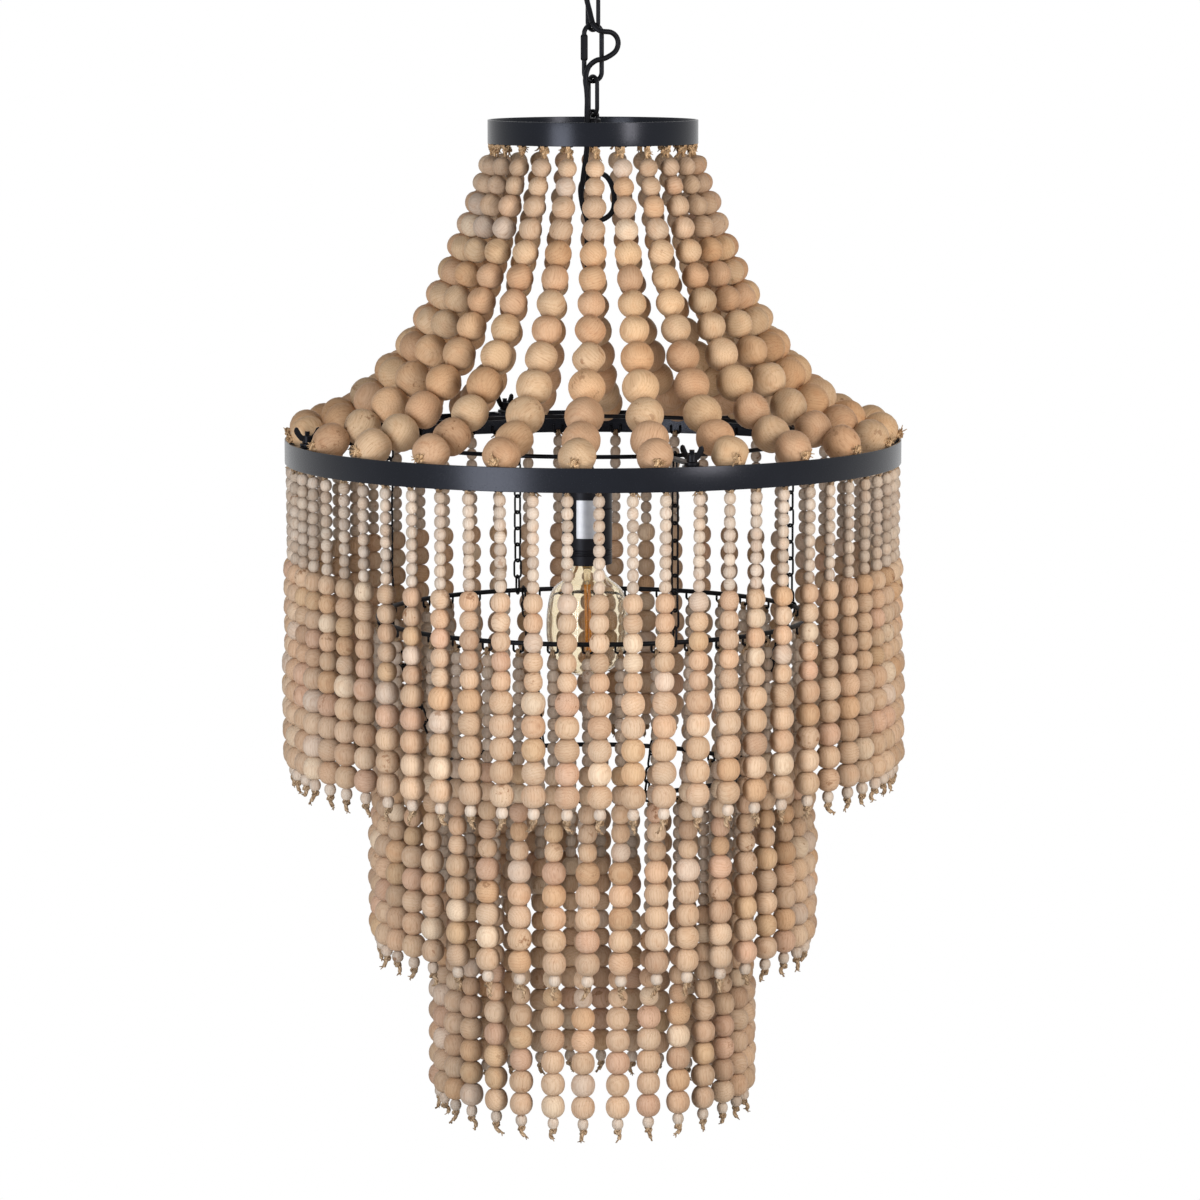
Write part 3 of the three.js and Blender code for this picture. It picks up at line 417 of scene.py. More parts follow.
def smooth_path(points, per_span=8):
    """A centripetal curve through chosen points, the same one that the solids follow."""
    points = [np.array(p, float) for p in points]
    ends = [2 * points[0] - points[1], *points, 2 * points[-1] - points[-2]]
    path = []
    for p0, p1, p2, p3 in zip(ends, ends[1:], ends[2:], ends[3:]):
        knots = [0]
        for a, b in ((p0, p1), (p1, p2), (p2, p3)):
            knots.append(knots[-1] + sqrt(np.linalg.norm(b - a)))
        t0, t1, t2, t3 = knots
        for step in range(per_span):
            t = t1 + (t2 - t1) * step / per_span
            a1 = blend(t, t0, t1, p0, p1)
            a2 = blend(t, t1, t2, p1, p2)
            a3 = blend(t, t2, t3, p2, p3)
            path.append(blend(t, t1, t2, blend(t, t0, t2, a1, a2), blend(t, t1, t3, a2, a3)))
    path.append(points[-1])
    return path


def tube(form, path, radii, sides, closed=False, lay=0.0):
    """A round wire or twine along a path. Radii is one radius or one for each point."""
    path = np.array([tuple(p) for p in path], float)
    count = len(path)
    radii = np.broadcast_to(radii, count)
    if closed:
        runs = np.roll(path, -1, 0) - np.roll(path, 1, 0)
    else:
        runs = np.gradient(path, axis=0)
    runs /= np.linalg.norm(runs, axis=1)[:, None]
    across = np.cross(runs[0], (0.31, 0.93, 0.17))
    turns = np.arange(sides) * 2 * pi / sides
    points, marks = [], []
    length = 0
    for i in range(count):
        across = across - runs[i] * np.dot(across, runs[i])
        across /= np.linalg.norm(across)
        up = np.cross(runs[i], across)
        ring = np.cos(turns)[:, None] * across + np.sin(turns)[:, None] * up
        points.append(path[i] + radii[i] * ring)
        if i:
            length += np.linalg.norm(path[i] - path[i - 1])
        marks.append(2 * pi * length / lay + 3 * turns if lay else turns * 0)
    faces = ring_faces(count, sides, not closed)
    if closed:
        # The last ring meets the first one with as little twist as there can be.
        start, end = points[0], points[-1]
        shifts = [np.abs(np.roll(start, -s, 0) - end).sum() for s in range(sides)]
        shift = int(np.argmin(shifts))
        del faces[-sides:]
        last = (count - 1) * sides
        faces += [(last + i, last + (i + 1) % sides, (i + 1 + shift) % sides, (i + shift) % sides)
                  for i in range(sides)]
    fields = {"run": np.concatenate(marks)} if lay else {}
    form.add(np.concatenate(points), faces, **fields)


def flat_piece(form, outline, thickness, place, bevel=0.3 * MM):
    """A flat outline given as (x, y), made thick from z = 0 up with softened edges. Place moves
    a point to where it belongs."""
    outline = [np.array(p, float) for p in outline]
    middle = sum(outline) / len(outline)
    shrunk = [p + (middle - p) / max(np.linalg.norm(middle - p), 1e-9) * bevel for p in outline]
    layers = [(shrunk, 0), (outline, bevel), (outline, thickness - bevel), (shrunk, thickness)]
    points = [tuple(place(Vector((p[0], p[1], z)))) for layer, z in layers for p in layer]
    form.add(points, ring_faces(len(layers), len(outline)))


def stadium(length, width, wire, steps=14):
    """Centreline of a link in its own plane: (across, up) points."""
    bend = half(width - wire)
    straight = half(length - width)
    points = []
    for end in (1, -1):
        for i in range(steps + 1):
            turn = pi * i / steps
            points.append((end * bend * cos(turn), end * (straight + bend * sin(turn))))
    return points


def loop_of_wire(form, centre, across, up, length, width, wire, sides=14):
    path = [centre + across * x + up * y for x, y in stadium(length, width, wire)]
    tube(form, path, half(wire), sides, closed=True)


def circle(centre, across, up, radius, steps=32):
    turns = [2 * pi * i / steps for i in range(steps)]
    return [centre + across * radius * cos(t) + up * radius * sin(t) for t in turns]


def round_wire(form, radius, z, wire):
    tube(form, circle(UP * z, outward(0), sideways(0), radius, 144), half(wire), 12, closed=True)


# Camera, floor and light

def camera():
    # Picture and focal length in pixels, pitch in degrees
    picture, focal, pitch = 1200, 4850, 7.35
    distance, above_band, aside = 4550 * MM, 443.5 * MM, 6.6 * MM
    lens = bpy.data.cameras.new("camera")
    lens.sensor_fit = "HORIZONTAL"
    lens.sensor_width = 36
    lens.lens = lens.sensor_width * focal / picture
    lens.clip_end = 40
    view = linked("camera", lens)
    view.location = (aside, -distance, band_z + above_band)
    view.rotation_euler = (radians(90 - pitch), 0, 0)
    bpy.context.scene.camera = view


def surroundings():
    """White for the camera, glass and mirroring surfaces, and a faint soft light for the rest."""
    world = bpy.data.worlds.new("studio")
    bpy.context.scene.world = world
    world.use_nodes = True
    tree = world.node_tree
    tree.nodes.clear()
    path = add_node(tree, "ShaderNodeLightPath")
    seen = path.outputs["Is Camera Ray"]
    for ray in ("Is Transmission Ray", "Is Glossy Ray"):
        seen = add_node(tree, "ShaderNodeMath", {"operation": "MAXIMUM"},
                        {0: seen, 1: path.outputs[ray]}).outputs[0]
    soft = add_node(tree, "ShaderNodeBackground", {"Color": srgb("#f6f3ee"), "Strength": 0.04})
    white = add_node(tree, "ShaderNodeBackground", {"Color": (1, 1, 1, 1), "Strength": 1.0})
    both = add_node(tree, "ShaderNodeMixShader",
                    links={0: seen, 1: soft.outputs[0], 2: white.outputs[0]})
    add_node(tree, "ShaderNodeOutputWorld", links={"Surface": both.outputs[0]})
    bpy.context.scene.view_settings.view_transform = "Standard"


def soft_boxes():
    # Place and size in metres, power in watts, colour, and whether glossy surfaces mirror it.
    # In the hoops' edges, the other two would draw bright lines.
    boxes = (("left_box", (-1.0, -1.49, -0.57), (0.66, 1.35), 28, "#fffaf5", True),
             ("right_box", (1.155, -1.38, 0.02), (0.44, 1.1), 23, "#fff2e4", True),
             ("low_right_box", (1.155, -1.38, -1.0), (0.44, 0.7), 11, "#fff2e4", False),
             ("rear_box", (0, 3.3, 0.7), (1.8, 1.6), 82, "#fffaf5", False))
    for name, place, size, power, colour, mirrored in boxes:
        light = bpy.data.lights.new(name, "AREA")
        light.shape = "RECTANGLE"
        light.size, light.size_y = size
        light.energy = power
        light.color = srgb(colour)[:3]
        box = linked(name, light)
        box.location = Vector(place)
        box.rotation_euler = (UP * band_z - box.location).to_track_quat("-Z", "Y").to_euler()
        box.visible_camera = False
        box.visible_transmission = False
        box.visible_glossy = mirrored


def ground():
    depth, radius, thick = 1950 * MM, 1500 * MM, 5 * MM
    form = Form()
    turned(form, [(radius, -depth - thick), (radius, -depth)], 96)
    floor = form.item("floor")
    floor.data.materials.append(mottled("painted_floor", {"Roughness": 0.8}, 12 * MM,
                                        "#dfddd9", "#d8d6d2"))


# Flex: the same points as its solids follow, in millimetres. Its last piece hangs
# straight down on the lamp's axis.
flex_routes = {
    "flex_top": ("ceiling_fixing", [
        (-16, 0, -12), (-16, 0, -25), (-15.6, 0, -38), (-12.4, -0.1, -50), (-8.4, -0.3, -62),
        (-6.9, -0.4, -69), (-6.3, -0.5, -73.4)]),
    "flex_mid": ("upper_link", [
        (-6.2, -0.52, -74), (-5.8, -0.9, -77), (-4.6, -1.8, -82), (-3, -3.6, -88),
        (-1.6, -5.8, -94), (-0.4, -7.5, -98.4)]),
    "flex_main": ("fixture", [
        (-0.24, -7.74, -98.98), (0.6, -8.5, -100.9), (3.4, -9.5, -104.1), (7.8, -9.8, -106.3),
        (17.2, -7.4, -107.6), (21.8, -5.4, -111.5), (23.5, -4.4, -117.7), (21.1, -4.7, -124.8),
        (11.8, -6.8, -131.2), (2.6, -7.3, -133.7), (-4, -6.6, -139.6), (-6.9, -8.5, -151),
        (-5.9, -8.4, -160), (-5.3, -8.4, -170), (-5.5, -9.1, -181), (-5.5, -9, -192),
        (-5.5, -9, -202.8)]),
    "flex_loop": ("flex_loop", [
        (-5.5, -9, -203.2), (-5.5, -9, -210), (-6.4, -9, -222), (-9.2, -8.8, -243),
        (-10.7, -9.4, -261.7), (-4.4, -9.8, -277.8), (7.6, -7.5, -281.6), (18.3, -5, -273.6),
        (18.7, -3.7, -252.5), (11.4, -0.8, -240.4), (0.4, 1, -238.6), (-10.6, 2.1, -248.5),
        (-9.9, -1.4, -267.6), (-5.3, -4.6, -282.8), (-5.6, -8.2, -298), (-5.5, -9, -306),
        (-5.5, -9, -312.8)]),
    "flex_drop": ("lamp", [
        (lamp_axis.x / MM, lamp_axis.y / MM, z / MM)
        for z in (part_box("flex_drop")[1].z, middle_of("flex_drop").z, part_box("flex_drop")[0].z)]),
}


def flex():
    for name, (body, route) in flex_routes.items():
        path = [point * MM for point in smooth_path(route)]
        form = Form()
        tube(form, path, half(flex_diameter), 16)
        cord = form.piece(name + "_sheath", PVC, body, "flex", name)


# Strings of beads

twine = 3 * MM
wood_tones = 2 * ["#cebaa5", "#cbb49c", "#c9ae96", "#c4ad96", "#ccb59e", "#c6b09b"]
wood_tones += ["#d0c1b4", "#caad99", "#c7ae91", "#bda48f", "#d8c8b4", "#c6a98c"]
warm_tones = ["#cfb494", "#c8a684", "#ccad8d", "#d1b89b", "#c4a385", "#cdb598", "#c7a88c"]
grey_tones = ["#cbc2b9", "#c3b8ae", "#bbb0a5", "#cdc3b8", "#c6b9ac"]


def bead_shape(sides, rows):
    """A ball turned with flats at both ends of its hole, of unit radius and half height."""
    hole, fullness = 0.3, 0.74
    points = []
    for row in range(rows + 1):
        turn = hole + (pi - 2 * hole) * row / rows
        radius = sin(turn) ** fullness
        height = cos(turn) / cos(hole)
        spokes = [2 * pi * i / sides for i in range(sides)]
        points += [(radius * cos(spoke), radius * sin(spoke), height) for spoke in spokes]
    # The rows run downwards, so the faces are turned over.
    return np.array(points), [face[::-1] for face in ring_faces(rows + 1, sides)]


small_shape, medium_shape, large_shape = bead_shape(10, 6), bead_shape(14, 8), bead_shape(18, 10)
canopy_shape = bead_shape(22, 12)

# Tier beads: shape, diameter, pitch along the strand and tones
small_bead, medium_bead, large_bead = 11.2 * MM, 18 * MM, 22.5 * MM
small = (small_shape, small_bead, 0.985 * small_bead, grey_tones)
medium = (medium_shape, medium_bead, 0.978 * medium_bead, wood_tones)
large = (large_shape, large_bead, 0.933 * large_bead, wood_tones)
end_bead = (*small[:3], grey_tones[:1])


def thread_bead(form, shape, centre, axis, diameter, height, tones):
    """Strings one bead: slightly uneven, a little askew and with grain of its own."""
    points, faces = shape
    wobble = 0.1
    axis = (Vector(axis) + Vector([dice.uniform(-wobble, wobble) for _ in range(3)])).normalized()
    side = axis.orthogonal().normalized()
    spin = dice.uniform(0, 2 * pi)
    across = side * cos(spin) + axis.cross(side) * sin(spin)
    basis = np.array([across, axis.cross(across), axis])
    radius = half(diameter) * dice.uniform(0.965, 1.02)
    scaled = points * np.array([radius, radius * dice.uniform(0.97, 1.0), half(height) * 0.99])
    grain = scaled / MM
    # Some beads are turned across the grain.
    if dice.random() < 0.3:
        grain = grain[:, [2, 0, 1]]
    pith = dice.uniform(6, 26)
    turn = dice.uniform(0, 2 * pi)
    grain = grain + [pith * cos(turn), pith * sin(turn), dice.uniform(0, 900)]
    tone = np.array(srgb(dice.choice(tones)))
    tone[:3] *= dice.uniform(0.84, 1.04)
    flaw = dice.uniform(0.5, 1) if dice.random() < 0.12 else 0
    form.add(scaled @ basis + np.array(centre), faces, tone=tone[None, :], grain=grain,
             flaw=np.array([flaw]))


def knot(form, centre, size):
    """A small overhand knot, drawn as a tight trefoil."""
    spin = dice.uniform(0, 2 * pi)
    path, steps = [], 21
    for i in range(steps):
        t = 2 * pi * i / steps
        ring, turn = (2 + cos(3 * t)) / 3, 2 * t + spin
        path.append(centre + size * Vector((ring * cos(turn), ring * sin(turn),
                                            0.75 * sin(3 * t))))
    tube(form, path, size * 0.42, 6, closed=True, lay=4 * MM)


def frayed_end(form, start, towards, length, strands=4, spread=0.5):
    """Cut twine that has opened into a few thinner plies."""
    towards = towards.normalized()
    steps = 5
    for _ in range(strands):
        lean = Vector([dice.uniform(-spread, spread) for _ in range(3)])
        reach = length * dice.uniform(0.7, 1) / (towards + lean).length
        path = []
        for i in range(steps + 1):
            t = i / steps
            curl = Vector([dice.uniform(-1, 1) for _ in range(3)]) * 0.05 * length * t
            path.append(start + (towards + lean * t) * reach * t + curl)
        radii = [half(twine) * (0.68 - 0.42 * i / steps) for i in range(steps + 1)]
        tube(form, path, radii, 5, lay=3 * MM)


def twine_tail(form, start, lowest):
    """A short bent length of thick twine under the last knot, opening only at its cut end."""
    fray, overlap, steps = 4.5 * MM, 1 * MM, 6
    drop = start.z - lowest - fray - 1.5 * MM
    lean = Vector((dice.uniform(-1, 1), dice.uniform(-1, 1), 0)) * 0.5
    bend = Vector((dice.uniform(-1, 1), dice.uniform(-1, 1), 0)) * 0.3
    path = []
    for t in (i / steps for i in range(steps + 1)):
        path.append(start + drop * (lean * t + bend * sin(pi * t) - UP * t))
    tube(form, path, half(twine) * 1.3, 8, lay=4.5 * MM)
    frayed_end(form, path[-1] + UP * overlap, path[-1] - path[-3], fray + overlap, spread=0.6)


def grouped(count, first, parting, groups):
    """The angles of evenly spaced strands, in equal sectors that start at the parting."""
    lists = [[] for _ in range(groups)]
    for i in range(count):
        past = (first + i * 360 / count - parting) % 360
        lists[int(past * groups // 360)].append(past + parting)
    return [sorted(angles) for angles in lists]


# From an eyelet's top down to its lower wire
eye_depth = 9 * MM - half(eye_wire)


def eyelet(form, angle, radius, top):
    """A small wire loop with a flat bottom, welded on by its two ends, that twine is tied to."""
    half_width, corner, steps = half(9.3 * MM), 2.2 * MM, 4
    outline = [(-half_width, 0)]
    for i in range(steps + 1):
        turn = half(pi) * i / steps
        outline.append((corner - half_width - corner * cos(turn),
                        corner - eye_depth - corner * sin(turn)))
    outline += [(-x, z) for x, z in outline[::-1]]
    tube(form, [at(angle, radius, top + z, x) for x, z in outline], half(eye_wire), 8)


def tied_twine(form, angle, radius, wire_z, knot_z, bead_top):
    """Twine wound twice round an eyelet's lower wire, knotted, and on down into a bead."""
    ply = half(twine) * 0.62
    reach = half(eye_wire) + ply
    wound = ((0, knot_z), (reach, wire_z), (0, wire_z + reach), (-reach, wire_z), (0, knot_z))
    for shift in (-ply, ply):
        path = [at(angle, radius + out, z, shift) for out, z in wound]
        tube(form, smooth_path(path, 4), ply, 6, lay=5 * MM)
    start = at(angle, radius, knot_z)
    knot(form, start, 2.3 * MM)
    tube(form, [start, at(angle, radius, bead_top - 2 * MM)], half(twine), 8, lay=6 * MM)


def tier(name, count, first, parting, groups, radius, top, eye_radius, eye_top, body, smalls):
    """Hanging strands in the sizes of the real ones: small, medium and large beads, then an end
    bead, a knot and a frayed tail. Each strand hangs a little out of line, as tied ones do."""
    eyes = Form()
    slack = min(half(2 * pi * radius / count - 1.04 * large_bead), 3 * MM)
    wire_z = eye_top - eye_depth
    kinds = smalls * [small] + 5 * [medium] + 5 * [large] + [end_bead]
    for index, angles in enumerate(grouped(count, first, parting, groups), 1):
        node = f"{name}_strands_{index}"
        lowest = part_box(node)[0].z
        beads, strings = Form(), Form()
        for angle in angles:
            angle += degrees(slack * dice.uniform(-0.5, 0.5) / radius)
            aside = slack * dice.uniform(-0.5, 0.5) / (top - lowest)
            inward = slack * dice.uniform(-0.2, 0.5) / (top - lowest)
            start = at(angle, radius, top)
            run = at(angle, -inward, -1, aside)
            last_pitch = small[2]
            down = half(small_bead) - last_pitch
            for shape, diameter, pitch, tones in kinds:
                down += half(last_pitch + pitch)
                last_pitch = pitch
                thread_bead(beads, shape, start + run * down, UP, diameter, pitch, tones)
            tail = start + run * (down + half(pitch) + 1.6 * MM)
            knot(strings, tail, 3 * MM)
            tube(strings, [start, tail], half(twine) * 0.8, 6, lay=6 * MM)
            twine_tail(strings, tail, lowest)
            eyelet(eyes, angle, eye_radius, eye_top)
            tied_twine(strings, angle, half(radius + eye_radius), wire_z,
                       half(wire_z - 1 * MM + top), top)
            if dice.random() < 0.25:
                side = dice.choice((-1, 1))
                towards = at(angle, 0.5, -dice.uniform(0.3, 1.2), side)
                frayed_end(strings, at(angle, radius, top + 2 * MM, side * 3 * MM), towards,
                           dice.uniform(6, 9) * MM, strands=3, spread=0.4)
        beads.piece(node + "_beads", WOOD, body, "wood", node, sharp=0)
        strings.piece(node + "_twine", GREY_JUTE, body, "wood")
    eyes.piece(name + "_eyelets", BLACK_WIRE, body, "black_metal")


def tiers():
    tier("tier_1", 60, 1.3, -1.7, 6, band_radius - wall - 4 * MM, band_low - 2.5 * MM,
         band_radius - wall - half(eye_wire), band_low + 8 * MM, "fixture", smalls=8)
    hung = (("tier_2", 40, -1.5, ring_2_radius, ring_2_z),
            ("tier_3", 30, -3, ring_3_radius, ring_3_z))
    tied_length = 12.6 * MM
    for name, count, first, radius, z in hung:
        tier(name, count, first, chain_angles[name], 4, radius, z - tied_length, radius, z,
             "tier_2", smalls=9)
    for name, _, _, radius, z in hung:
        form = Form()
        round_wire(form, radius, z, tier_wire)
        form.piece(name + "_ring_wire", BLACK_WIRE, "tier_2", "black_metal", name + "_ring")


def catenary(width, height):
    """The curve radius at the low end of a hanging line that is level there."""
    low, high = width / 20, width * 20
    for _ in range(60):
        middle = half(low + high)
        if middle * (cosh(width / middle) - 1) > height:
            low = middle
        else:
            high = middle
    return half(low + high)


def canopy():
    """Strings of growing beads from the crown hoop down to the band, each a hanging catenary."""
    count, first_angle, turn_down, parting = 24, 1.5, -4.5, arm_angle + 3
    largest, warm_from = 35 * MM, 24 * MM
    shares = (0.515, 0.53, 0.63, 0.63, 0.714, 0.714, 0.743, 0.8, 0.886, 0.971, 1, 1, 0.971)
    diameters = [share * largest for share in shares]
    pitches = [half(a + b) for a, b in zip(diameters, diameters[1:])]
    top_twine, end_twine = 19.2 * MM, 20.9 * MM
    # The crown hoop's solid has 32 sides, and the strands start inside their flats.
    start_radius = (crown_radius - wall) * cos(pi / 32) - 3.3 * MM
    start_z = crown_low - 1.5 * MM
    end_radius, end_z = band_radius + 1 * MM, band_high + 6.2 * MM
    curve = catenary(end_radius - start_radius, start_z - end_z)
    length = curve * sinh((end_radius - start_radius) / curve)
    stretch = (length - top_twine - end_twine) / sum(pitches)
    eyes = Form()
    eye_radius, eye_top = crown_radius - wall - half(eye_wire), crown_low + 8 * MM
    for index, angles in enumerate(grouped(count, first_angle, parting, 4), 1):
        node = f"canopy_strands_{index}"
        beads, strings = Form(), Form()
        for angle in angles:
            drift = turn_down + dice.uniform(0.1, 0.6) * (1 if angle % 360 > 180 else -1)

            def point(back):
                """A place on the strand, at a length back from its level end."""
                return at(angle + drift * (1 - back / length),
                          end_radius - curve * asinh(back / curve),
                          end_z - curve + hypot(curve, back))

            backs = [length - top_twine]
            for pitch in pitches:
                backs.append(backs[-1] - pitch * stretch)
            for i, (back, size) in enumerate(zip(backs, diameters)):
                # So short a run lets the wobble turn the bead any way, as round beads do.
                run = point(back + 1 * MM) - point(back - 1 * MM)
                near = [abs(back - other) for other in backs[max(0, i - 1):i + 2] if other != back]
                thread_bead(beads, canopy_shape, point(back), run, size, min(size, *near) * 0.96,
                            warm_tones if size > warm_from else wood_tones)
            tube(strings, [point(length * i / 30) for i in range(31)], half(twine), 8, lay=6 * MM)
            tied_twine(strings, angle, eye_radius, eye_top - eye_depth, crown_low - 4 * MM,
                       crown_low - 6 * MM)
            for _ in range(2):
                spot = point(length) + MM * Vector((dice.uniform(-2, 2), dice.uniform(-2, 2),
                                                    dice.uniform(-5, 0)))
                knot(strings, spot, 2.4 * MM)
                lean = at(angle, aside=dice.uniform(-0.8, 0.8), radius=dice.uniform(-0.3, 0.4),
                          z=-1)
                frayed_end(strings, spot, lean, dice.uniform(7, 10) * MM, strands=3)
            end_angle = angle + drift
            rest = at(end_angle, band_radius - 3 * MM, band_high + 4.4 * MM)
            knot(strings, rest, 3.6 * MM)
            for _ in range(3):
                lean = at(end_angle, aside=dice.uniform(-1.3, 1.3), radius=dice.uniform(0.2, 0.7),
                          z=dice.uniform(-0.2, 1.2))
                frayed_end(strings, rest, lean, dice.uniform(7, 11) * MM, strands=3)
            eyelet(eyes, angle, eye_radius, eye_top)
        beads.piece(node + "_beads", WOOD, "fixture", "wood", node, sharp=0)
        strings.piece(node + "_twine", STRAW_JUTE, "fixture", "wood")
    eyes.piece("crown_eyelets", BLACK_WIRE, "fixture", "black_metal")


# Metalwork

def flat_hoop(form, radius, low, high, steps):
    corners = [(radius - wall, low), (radius, low), (radius, high), (radius - wall, high)]
    turned(form, rounded(corners, 0.5 * MM), steps, hollow=True)


def threaded_stud(form, centre, low, high):
    radius, groove, lead, chamfer = 2.5 * MM, 0.35 * MM, 0.8 * MM, 0.9 * MM
    thread = [(radius - groove * (step % 2), low + step * half(lead))
              for step in range(2 * int((high - low) / lead) + 1)]
    turned(form, [*thread, (radius - chamfer, high)], 20, centre=centre)


def hoops():
    crown = Form()
    flat_hoop(crown, crown_radius, crown_low, crown_high, 128)
    crown.piece("crown_hoop", POWDER, "fixture", "black_metal", "top_hoop")

    stud_circle, stud_top = band_radius - wall - 10 * MM, band_low + 36 * MM
    tab_half_width, tab_thickness, tab_edge = 8 * MM, 2 * MM, band_radius - wall + 0.3 * MM
    tab_end = tab_edge - 16.4 * MM
    tab = rounded([(-tab_half_width, tab_edge), (-tab_half_width, tab_end),
                   (tab_half_width, tab_end), (tab_half_width, tab_edge)], 3 * MM)
    arm_half_width, arm_thickness, arm_start = 3.5 * MM, 2.5 * MM, spreader_radius - 0.5 * MM
    # The arm's round end, from its left side over the top to its right side
    end_radius, end_from, end_sweep, steps = 7 * MM, 215, 250, 12
    turns = [radians(end_from - end_sweep * step / steps) for step in range(steps + 1)]
    arm = [(-arm_half_width, arm_start),
           *((end_radius * cos(t), stud_circle + end_radius * sin(t)) for t in turns),
           (arm_half_width, arm_start)]

    band, spreader = Form(), Form()
    flat_hoop(band, band_radius, band_low, band_high, 240)
    round_wire(spreader, spreader_radius, spreader_z, spreader_wire)
    for i in range(arm_count):
        angle = arm_angle + i * 360 / arm_count

        def on_arm(base):
            return lambda point: at(angle, point.y, base + point.z, point.x)

        tab_z = band_high - tab_thickness
        flat_piece(band, tab, tab_thickness, on_arm(tab_z))
        threaded_stud(band, at(angle, stud_circle, 0), tab_z, stud_top)
        flat_piece(spreader, arm, arm_thickness, on_arm(spreader_z - half(arm_thickness)))
    band.piece("wide_band", POWDER, "fixture", "black_metal", "big_hoop")
    spreader.piece("spreader_hoop", BLACK_WIRE, "fixture", "black_metal", "inner_hoop")


def wing_nuts():
    bore, radius, height = 2.85 * MM, 5 * MM, 7 * MM
    body = [(bore, 0), (radius - 0.4 * MM, 0), (radius, 0.4 * MM),
            (radius - 0.6 * MM, height - 0.7 * MM), (radius - 1.3 * MM, height), (bore, height)]
    # One wing, out from the axis and up, in millimetres
    wing = [(3.2, 1.2), (6.8, 2.4), (9.6, 5.6), (11.6, 8.6), (12.4, 11.4), (11.8, 13.8),
            (10.4, 14.9), (8.6, 14.2), (7, 11.4), (5.4, 8.4), (3.2, 6.6)]
    wing, thick = [(x * MM, z * MM) for x, z in wing], 2.6 * MM
    for i, angle in enumerate((-35, 60, 50, 5), 1):
        name = f"wing_nut_{i}"
        foot = middle_of(name)
        foot.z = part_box(name)[0].z
        form = Form()
        turned(form, body, 24, centre=foot, hollow=True)
        for side in (1, -1):
            def on_nut(point):
                return foot + at(angle, side * (half(thick) - point.z), point.y, side * point.x)

            flat_piece(form, wing, thick, on_nut, bevel=0.5 * MM)
        form.piece(name + "_casting", BLACK_WIRE, name, "black_metal", name)


def hanging_chain():
    quick_wire = 4.5 * MM
    for name, body, turn, length, width, wire in (
            ("upper_link", "upper_link", -45, 40 * MM, 18 * MM, 4 * MM),
            ("lower_link", "fixture", lower_link_turn, 40 * MM, 18 * MM, 4 * MM),
            ("quick_link", "fixture", 10, 57 * MM, 21 * MM, quick_wire)):
        form = Form()
        loop_of_wire(form, UP * middle_of(name).z, sideways(turn), UP, length, width, wire)
        form.piece(name + "_wire", BLACK_WIRE, body, "black_metal", name)

    low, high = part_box("quick_link_sleeve")
    reach, end, bore = half(high.x - low.x), half(high.z - low.z), half(quick_wire) + 0.33 * MM
    corner, rim, shoulder = 0.97 * reach, 0.8 * reach, end - 1.6 * MM
    profile = [(bore, -end), (rim, -end), (corner, -shoulder), (corner, shoulder), (rim, end),
               (bore, end)]
    turned_piece("quick_link_nut", BLACK_WIRE, "quick_link_sleeve", "black_metal",
                 "quick_link_sleeve", profile, 6, middle_of("quick_link_sleeve"), sharp=20)


def small_chains():
    wire, pitch, inner_width, contact, seat = 2.2 * MM, 16 * MM, 5.4 * MM, 0.15 * MM, 0.3 * MM
    drawn_wire, twist = 0.96 * wire, 28
    spreader = (spreader_radius, spreader_z, spreader_wire)
    ring_2 = (ring_2_radius, ring_2_z, tier_wire)
    ring_3 = (ring_3_radius, ring_3_z, tier_wire)
    for tier_name, start, end in (("tier_2", spreader, ring_2), ("tier_3", ring_2, ring_3)):
        for i in range(4):
            angle = chain_angles[tier_name] + i * 90
            node = f"{tier_name}_chain_{i + 1}"
            top, bottom = at(angle, *start[:2]), at(angle, *end[:2])
            along = (bottom - top).normalized()
            radial = sideways(angle).cross(along)
            # The chain ends on the far sides of both wires, in an odd number of links.
            span = (bottom - top).length + half(start[2] + end[2]) + 2 * seat
            links = 2 * round(half(span / pitch - 1)) + 1
            inner = (span + (links - 1) * contact) / links
            form = Form()
            for link in range(links):
                untwist = twist * sin(pi * link / (links - 1))
                turn = radians(90 * (link % 2) - untwist)
                across = radial * cos(turn) + sideways(angle) * sin(turn)
                past = link * (inner - contact) + half(inner) - half(start[2]) - seat
                loop_of_wire(form, top + along * past, across, along, inner + 2 * drawn_wire,
                             inner_width + 1.9 * wire, drawn_wire, 8)
            form.piece(node + "_links", BLACK_WIRE, node if tier_name == "tier_2" else "tier_2",
                       "black_metal", node)


def hub():
    low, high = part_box("hub_eye")
    radius, stem, core = half(high.x - low.x), 3 * MM, 0.6 * MM
    collar_height, above_bar = 7.7 * MM, 8 * MM
    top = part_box("top_cross_bar")[1].z + above_bar
    bottom = top - collar_height
    form = Form()
    turned(form, [(core, low.z), (stem - 0.4 * MM, low.z), (stem, low.z + 0.5 * MM), (stem, bottom),
                  (radius - 0.8 * MM, bottom), (radius, bottom + 0.8 * MM),
                  (radius, top - 1.5 * MM), (radius - 1.5 * MM, top), (core, top)], 32)
    eye_radius, wire = 5.2 * MM, 3.4 * MM
    centre = UP * (high.z - eye_radius - half(wire))
    tube(form, circle(centre, sideways(lower_link_turn + 90), UP, eye_radius), half(wire), 12,
         closed=True)
    form.piece("hub_with_eye", BLACK_WIRE, "fixture", "black_metal", "hub_eye")


